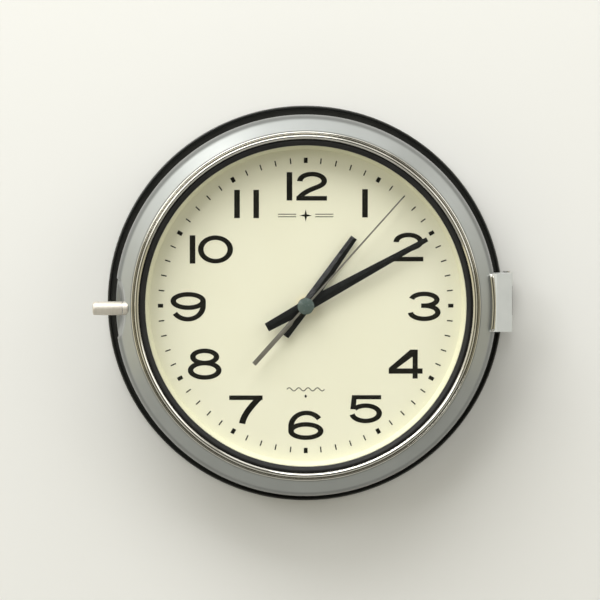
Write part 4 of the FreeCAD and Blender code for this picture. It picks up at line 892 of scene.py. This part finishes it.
def four():
    diagonal = scaled_mm([(2.7, 8.5), (5.55, 8.5), (5.55, 5.5), (-5.6, -2.8), (-9.9, -2.8),
                          (-9.9, -2.3)])
    return [bar((4.05, -8.5), (7.05, 8.5)), bar((-9.9, -5.6), (9.9, -2.55)), diagonal]


def five():
    stem = scaled_mm([(-8.2, 8.2), (-5.3, 8.2), (-5.9, 1.4), (-6.0, -0.1), (-9.2, -0.1)])
    bowl = bow(-0.2, -2.45, 8.0, 4.5, 143, -172)
    return [bar((-8.2, 5.75), (8.9, 8.2)), stem, stroke(bowl)]


def six_strokes():
    """The sweep and the loop of a six. A nine has the same, turned half round."""
    sweep = bow(0.4, -0.6, 9.0, 7.9, 34, 180) + [(-8.6, -2.0), (-8.6, -3.4)]
    return sweep, (0.1, -3.35, 8.7, 3.9)


def six():
    sweep, loop = six_strokes()
    return [stroke(sweep), ellipse_ring(*loop)]


def nine():
    sweep, (cx, cy, rx, ry) = six_strokes()
    return [stroke([(-x, -y) for x, y in sweep]), ellipse_ring(-cx, -cy, rx, ry)]


def seven():
    stem = [(8.1, 7.2)] + curve((8.1, 7.2), (3.2, 2.0), (-1.4, -3.0), (-2.2, -8.3))
    return [bar((-9.75, 5.6), (9.75, 8.25)), stroke(stem, upright=1.85 * MM, level=1.6 * MM)]


def eight():
    return [ellipse_ring(0, 4.05, 6.9, 3.55), ellipse_ring(0, -3.8, 8.25, 4.2)]


def zero():
    return [ellipse_ring(0, 0, 8.6, 6.85)]


GLYPHS = {"0": zero, "1": one, "2": two, "3": three, "4": four, "5": five, "6": six,
          "7": seven, "8": eight, "9": nine}

# hour: its figures, each with its shift to the right, and the number's centre on the dial, in millimetres
HOURS = {
    1: ([("1", 0)], 34.6, 59.8),
    2: ([("2", 0)], 59.8, 34.2),
    3: ([("3", 0)], 69.3, -0.4),
    4: ([("4", 0)], 58.5, -34.2),
    5: ([("5", 0)], 35.3, -60.6),
    6: ([("6", 0)], 0, -70.1),
    7: ([("7", 0)], -35.0, -60.8),
    8: ([("8", 0)], -59.1, -34.0),
    9: ([("9", 0)], -68.6, -0.6),
    10: ([("1", -11.0), ("0", 2.4)], -55.1, 32.9),
    11: ([("1", -5.6), ("1", 5.6)], -34.5, 59.4),
    12: ([("1", -9.1), ("2", 3.9)], -0.4, 69.7),
}


def printed(parts, origin):
    """One shape from the strokes of a figure."""
    shapes = [
        ring_slab(part, origin) if isinstance(part, tuple) else slab(part, origin)
        for part in parts
    ]
    if len(shapes) == 1:
        return shapes[0]
    return combined(shapes[0], shapes[1:], "UNION")


def numbers():
    """The twelve numbers, each one piece."""
    for hour, (figures, x, y) in HOURS.items():
        shapes = []
        for figure, shift in figures:
            shapes.append(printed(GLYPHS[figure](), ((x + shift) * MM, y * MM)))
        piece(f"number_{hour}", joined(shapes), "case", PRINT)


MARK_OUTER = 86.4 * MM
HOUR_MARK = (1.1 * MM, 3.1 * MM)        # half width and length
MINUTE_MARK = (0.36 * MM, 3.3 * MM)


def minute_marks():
    """Sixty marks, the hours broad and the minutes fine."""
    shapes = []
    for minute in range(60):
        half, length = HOUR_MARK if minute % 5 == 0 else MINUTE_MARK
        inner = MARK_OUTER - length
        outline = [(-half, inner), (half, inner), (half, MARK_OUTER), (-half, MARK_OUTER)]
        shapes.append(slab(outline, (0, 0), -TURN * minute / 60))
    piece("minute_marks", joined(shapes), "case", PRINT)


STAR_LEVEL = 52.7 * MM
STAR_POINT = 3.6 * MM
STAR_NOTCH = 0.95 * MM
RULE_START = 5.6                        # from here to DIAMOND_SIZE in millimetres
RULE_END = 16.2
RULE_RISE = 0.75
RULE_HALF = 0.22
WAVE_HALF = 11.0
WAVE_HEIGHT = 0.95
DIAMOND_SIZE = (0.8, 1.1)
WAVE_COUNT = 4
WAVE_STEPS = 72
WAVE_PEN = 0.24 * MM
WAVE_LEVEL = -49.0 * MM
DIAMOND_LEVEL = -53.0 * MM


def ornaments():
    """A small star between fine rules above the hands, and a wave and a diamond below them."""
    star = []
    for k, angle in enumerate(even_angles(8)):
        radius = STAR_NOTCH if k % 2 else STAR_POINT
        star.append((radius * math.sin(angle), radius * math.cos(angle)))
    shapes = [slab(star, (0, STAR_LEVEL))]
    for left, right in ((-RULE_END, -RULE_START), (RULE_START, RULE_END)):
        for rise in (-RULE_RISE, RULE_RISE):
            rule = bar((left, rise - RULE_HALF), (right, rise + RULE_HALF))
            shapes.append(slab(rule, (0, STAR_LEVEL)))
    wave = []
    for k in range(WAVE_STEPS + 1):
        share = k / WAVE_STEPS
        swing = math.sin(TURN * WAVE_COUNT * share)
        wave.append((-WAVE_HALF + 2 * WAVE_HALF * share, WAVE_HEIGHT * swing))
    shapes.append(slab(stroke(wave, upright=WAVE_PEN, level=WAVE_PEN), (0, WAVE_LEVEL)))
    wide, tall = DIAMOND_SIZE
    diamond = scaled_mm([(0, -tall), (wide, 0), (0, tall), (-wide, 0)])
    shapes.append(slab(diamond, (0, DIAMOND_LEVEL)))
    piece("dial_ornaments", joined(shapes), "case", PRINT)


numbers()
minute_marks()
ornaments()


# ---------------------------------------------------------------- hands

HOUR_ANGLE = math.radians(35.2)
MINUTE_ANGLE = math.radians(61.2)
SECOND_ANGLE = math.radians(41.8)
HAND_EDGE = 0.4 * MM                # height of a hand's upright edge, below its ridge
HUB_RADIUS = 4.2 * MM
HAND_BEVEL = 0.1 * MM
HAND_SHARP = math.radians(12)       # keeps the ridge crisp


def along_hand(angle):
    """A place function for a hand: across, along and a depth."""
    def place(across, along, level):
        return (along * math.sin(angle) + across * math.cos(angle), -level,
                along * math.cos(angle) - across * math.sin(angle))
    return place


def blade(stations, low, high, place):
    """A bar with a ridge along its middle, through stations of (distance, half width)."""
    shape = bmesh.new()
    rings = []
    for along, half in stations:
        section = [(-half, along, low), (half, along, low), (half, along, low + HAND_EDGE),
                   (0, along, high), (-half, along, low + HAND_EDGE)]
        rings.append([shape.verts.new(place(*spot)) for spot in section])
    shape.faces.new(rings[0])
    shape.faces.new(rings[-1])
    for first, second in zip(rings, rings[1:]):
        for k in range(len(first)):
            n = (k + 1) % len(first)
            shape.faces.new([first[k], first[n], second[n], second[k]])
    bmesh.ops.recalc_face_normals(shape, faces=shape.faces)
    bmesh.ops.bevel(shape, geom=shape.edges[:], offset=HAND_BEVEL, segments=2, profile=0.5,
                    affect="EDGES", clamp_overlap=True)
    return shape


def hub(radius, low, high):
    """A plain disc round a hand's centre."""
    soft = 0.15 * MM
    return lathe(softened([(0, low), (radius, low, soft), (radius, high, soft), (0, high)]),
                 even_angles(72))


def ridged_hand(name, node, stations, angle):
    """The hour or the minute hand, with its stations in millimetres."""
    low, high = back(node), front(node)
    shape = joined([
        blade(scaled_mm(stations), low, high, along_hand(angle)),
        hub(HUB_RADIUS, low, high),
    ])
    piece(name, shape, node, FINISHES["hand_black"], [node], HAND_SHARP)


def second_hand():
    """A fine pointer with a long counterweight bar."""
    low, high = back("second_hand"), front("second_hand")
    outline = scaled_mm([
        (-1.35, -45.5), (1.35, -45.5), (1.35, -13.5), (0.6, -11), (0.42, 85.2), (-0.42, 85.2),
        (-0.6, -11), (-1.35, -13.5),
    ])
    place = along_hand(SECOND_ANGLE)
    pointer = prism(outline, low, high, place, bevel=0.08 * MM)
    piece("second_pointer", joined([pointer, hub(2.4 * MM, low, high)]), "second_hand",
          FINISHES["second_grey"], ["second_hand"])


def second_boss():
    """The round slate cap on the second hand, slightly domed."""
    radius = reach("second_boss")
    low, high = back("second_boss"), front("second_boss")
    bevel = 0.3 * MM
    rise = high - low - bevel
    dome = (radius * radius + rise * rise) / (2 * rise)
    rim = (radius, low + bevel)
    outline = [(0, low), (radius - bevel, low), (*rim, 0.12 * MM), *arc(rim, (0, high), -dome, 16),
               (0, high)]
    piece("second_cap", lathe(softened(outline), even_angles(96)), "second_hand",
          FINISHES["boss_slate"], ["second_boss"])


ridged_hand("hour_blade", "hour_hand", [(-21.4, 2.6), (0, 3.3), (48.9, 2.0)], HOUR_ANGLE)
ridged_hand("minute_blade", "minute_hand", [(-26, 2.6), (0, 3.5), (80.9, 1.35)], MINUTE_ANGLE)
second_hand()
second_boss()


# ---------------------------------------------------------------- latch knob

SPINDLE_RADIUS = 2 * MM
CAM_REACH = 2.2 * MM                # the eccentric pin stands this far past the spindle's end
CAM_RADIUS = 0.8 * MM
CAM_OFFSET = 1.1 * MM
KNOB_GAP = 0.03 * MM                # between the knob and its washer
BORE_GAP = 0.05 * MM                # between the spindle and its collars


def on_latch(radius, angle, along):
    """A point about the spindle's axis, along measured to the left of the dial's centre."""
    return (-along, -LATCH_DEPTH + radius * math.cos(angle), LATCH_LEVEL + radius * math.sin(angle))


def on_cam(radius, angle, along):
    """A point about the eccentric pin's axis, below the spindle's."""
    x, y, z = on_latch(radius, angle, along)
    return (x, y, z - CAM_OFFSET)


def latch():
    """The thumb knob with its spindle and eccentric pin, and its two collars on the cover."""
    low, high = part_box("latch_knob")
    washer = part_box("latch_washer")
    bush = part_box("latch_bush")
    end = -low.x
    inner = -washer[0].x + KNOB_GAP
    spindle_end = -high.x + CAM_REACH
    around = even_angles(96)
    soft = 1.1 * MM
    tiny = 0.15 * MM
    knob = lathe(softened([
        (0, spindle_end), (SPINDLE_RADIUS, spindle_end), (SPINDLE_RADIUS, inner),
        (KNOB_RADIUS, inner, tiny), (KNOB_RADIUS, end, soft), (0, end),
    ]), around, on_latch)
    cam = lathe(softened([
        (0, -high.x), (CAM_RADIUS, -high.x, tiny), (CAM_RADIUS, spindle_end + MM),
        (0, spindle_end + MM),
    ]), even_angles(32), on_cam)
    piece("thumb_knob", joined([knob, cam]), "latch_knob", FINISHES["satin_alloy"],
          ["latch_knob"])
    bore = SPINDLE_RADIUS + BORE_GAP

    def collar(name, node, box, rounding, slot):
        outline = [(bore, -box[0].x), (bore, -box[1].x), (KNOB_RADIUS, -box[1].x, rounding),
                   (KNOB_RADIUS, -box[0].x, rounding)]
        piece(name, lathe(softened(outline), around, on_latch), "cover", FINISHES[slot],
              [node])

    collar("knob_washer", "latch_washer", washer, 0.05 * MM, "bright_steel")
    collar("knob_bush", "latch_bush", bush, tiny, "satin_alloy")


latch()


# ---------------------------------------------------------------- stage, lights, camera

WALL_SIZE = 6.0
WALL_GAP = 0.4 * MM
FLOOR_LEVEL = -1.3
LOW_TINT = (1.0, 0.93, 0.68)        # the studio's tint below
HIGH_TINT = (1.0, 0.98, 0.91)       # and above
BASE_STRENGTH = 0.045
CAMERA_DISTANCE = 1.3
CAMERA_LENS = 128
CAMERA_SENSOR = 36
CAMERA_AZIMUTH = math.radians(-0.3)
CAMERA_ELEVATION = math.radians(1.8)
CAMERA_TARGET = (-3.15 * MM, 0, 2.05 * MM)


def plane(name, corners, material):
    """A flat stage piece."""
    mesh = bpy.data.meshes.new(name)
    mesh.from_pydata(corners, [], [(0, 1, 2, 3)])
    mesh.materials.append(material)
    thing = bpy.data.objects.new(name, mesh)
    bpy.context.scene.collection.objects.link(thing)
    return thing


def wall():
    """A plain pale wall. It is clear from behind, so that the clock's back can be looked at."""
    paint = new_material("wall_paint", (0.78, 0.78, 0.755), Roughness=0.9, Specular_IOR_Level=0.1)
    tint(paint, 0.4, (0.775, 0.775, 0.75), (0.79, 0.79, 0.765))
    clear = add_node(paint, "ShaderNodeBsdfTransparent")
    side = add_node(paint, "ShaderNodeNewGeometry")
    mix = add_node(paint, "ShaderNodeMixShader")
    output = paint.node_tree.nodes["Material Output"]
    link(paint, side, "Backfacing", mix, 0)
    link(paint, shader_of(paint), "BSDF", mix, 1)
    link(paint, clear, "BSDF", mix, 2)
    link(paint, mix, "Shader", output, "Surface")
    y = WALL_GAP
    half = WALL_SIZE / 2
    thing = plane("wall", [(-half, y, -half), (half, y, -half), (half, y, half), (-half, y, half)],
                  paint)
    thing.visible_shadow = False        # it casts no shadow
    thing.visible_diffuse = False       # and bounces no light on to the clock


def floor():
    """A plain pale floor, well below the clock."""
    paint = new_material("floor_paint", (0.5, 0.5, 0.485), Roughness=0.8)
    tint(paint, 0.5, (0.49, 0.49, 0.475), (0.51, 0.51, 0.495))
    half = WALL_SIZE / 2
    z = FLOOR_LEVEL
    plane("floor", [(-half, -half, z), (half, -half, z), (half, half, z), (-half, half, z)], paint)


def soft_light(name, place, width, height, power, color=(1, 1, 1)):
    """A broad lamp that faces the clock's centre."""
    data = bpy.data.lights.new(name, "AREA")
    data.shape = "RECTANGLE"
    data.size = width
    data.size_y = height
    data.energy = power
    data.color = color
    lamp = bpy.data.objects.new(name, data)
    lamp.location = place
    lamp.rotation_euler = (-Vector(place)).to_track_quat("-Z", "Y").to_euler()
    bpy.context.scene.collection.objects.link(lamp)


def surroundings(parts):
    """A dim plain studio. Each part, (axis, low, high, strength), brightens it along an axis."""
    world = bpy.data.worlds.new("studio")
    world.use_nodes = True
    tree = world.node_tree
    background = tree.nodes["Background"]
    spot = tree.nodes.new("ShaderNodeTexCoord")
    split = tree.nodes.new("ShaderNodeSeparateXYZ")
    tree.links.new(spot.outputs["Generated"], split.inputs["Vector"])

    def rising(axis, low, high, strength):
        level = tree.nodes.new("ShaderNodeMapRange")
        level.interpolation_type = "SMOOTHSTEP"
        level.inputs["From Min"].default_value = low
        level.inputs["From Max"].default_value = high
        level.inputs["To Max"].default_value = strength
        tree.links.new(split.outputs[axis], level.inputs["Value"])
        return level.outputs["Result"]

    total = None
    for part in parts:
        added = tree.nodes.new("ShaderNodeMath")
        added.operation = "ADD"
        tree.links.new(rising(*part), added.inputs[0])
        if total is None:
            added.inputs[1].default_value = BASE_STRENGTH
        else:
            tree.links.new(total, added.inputs[1])
        total = added.outputs[0]
    tree.links.new(total, background.inputs["Strength"])
    shades = tree.nodes.new("ShaderNodeValToRGB")
    shades.color_ramp.elements[0].color = (*LOW_TINT, 1)
    shades.color_ramp.elements[1].color = (*HIGH_TINT, 1)
    tree.links.new(rising("Z", -0.3, 0.5, 1.0), shades.inputs["Fac"])
    tree.links.new(shades.outputs["Color"], background.inputs["Color"])
    bpy.context.scene.world = world


def camera():
    """In front of the clock, almost level with its centre."""
    view = bpy.data.cameras.new("camera")
    view.lens = CAMERA_LENS
    view.sensor_width = CAMERA_SENSOR
    thing = bpy.data.objects.new("camera", view)
    level = math.cos(CAMERA_ELEVATION)
    way = Vector((math.sin(CAMERA_AZIMUTH) * level, -math.cos(CAMERA_AZIMUTH) * level,
                  math.sin(CAMERA_ELEVATION)))
    thing.location = Vector(CAMERA_TARGET) + way * CAMERA_DISTANCE
    thing.rotation_euler = (-way).to_track_quat("-Z", "Y").to_euler()
    bpy.context.scene.collection.objects.link(thing)
    bpy.context.scene.camera = thing


wall()
floor()
surroundings([("Z", 0.1, 0.6, 0.30), ("X", -0.05, -0.9, 0.97), ("X", 0.05, 0.9, 0.64)])
soft_light("ceiling", (-0.5, -1.2, 1.8), 1.9, 1.1, 29)
soft_light("ceiling_far", (-0.2, -0.6, 2.0), 3.0, 1.4, 15)
soft_light("window_high", (-1.4, -1.0, 1.4), 1.7, 1.4, 9, (0.98, 1.0, 1.0))
soft_light("window_right", (1.6, -1.2, 0.9), 1.5, 1.2, 8.2)
soft_light("window", (-0.97, -1.74, 0.67), 0.55, 0.55, 4.8)
camera()
bpy.context.scene.view_settings.view_transform = "Standard"
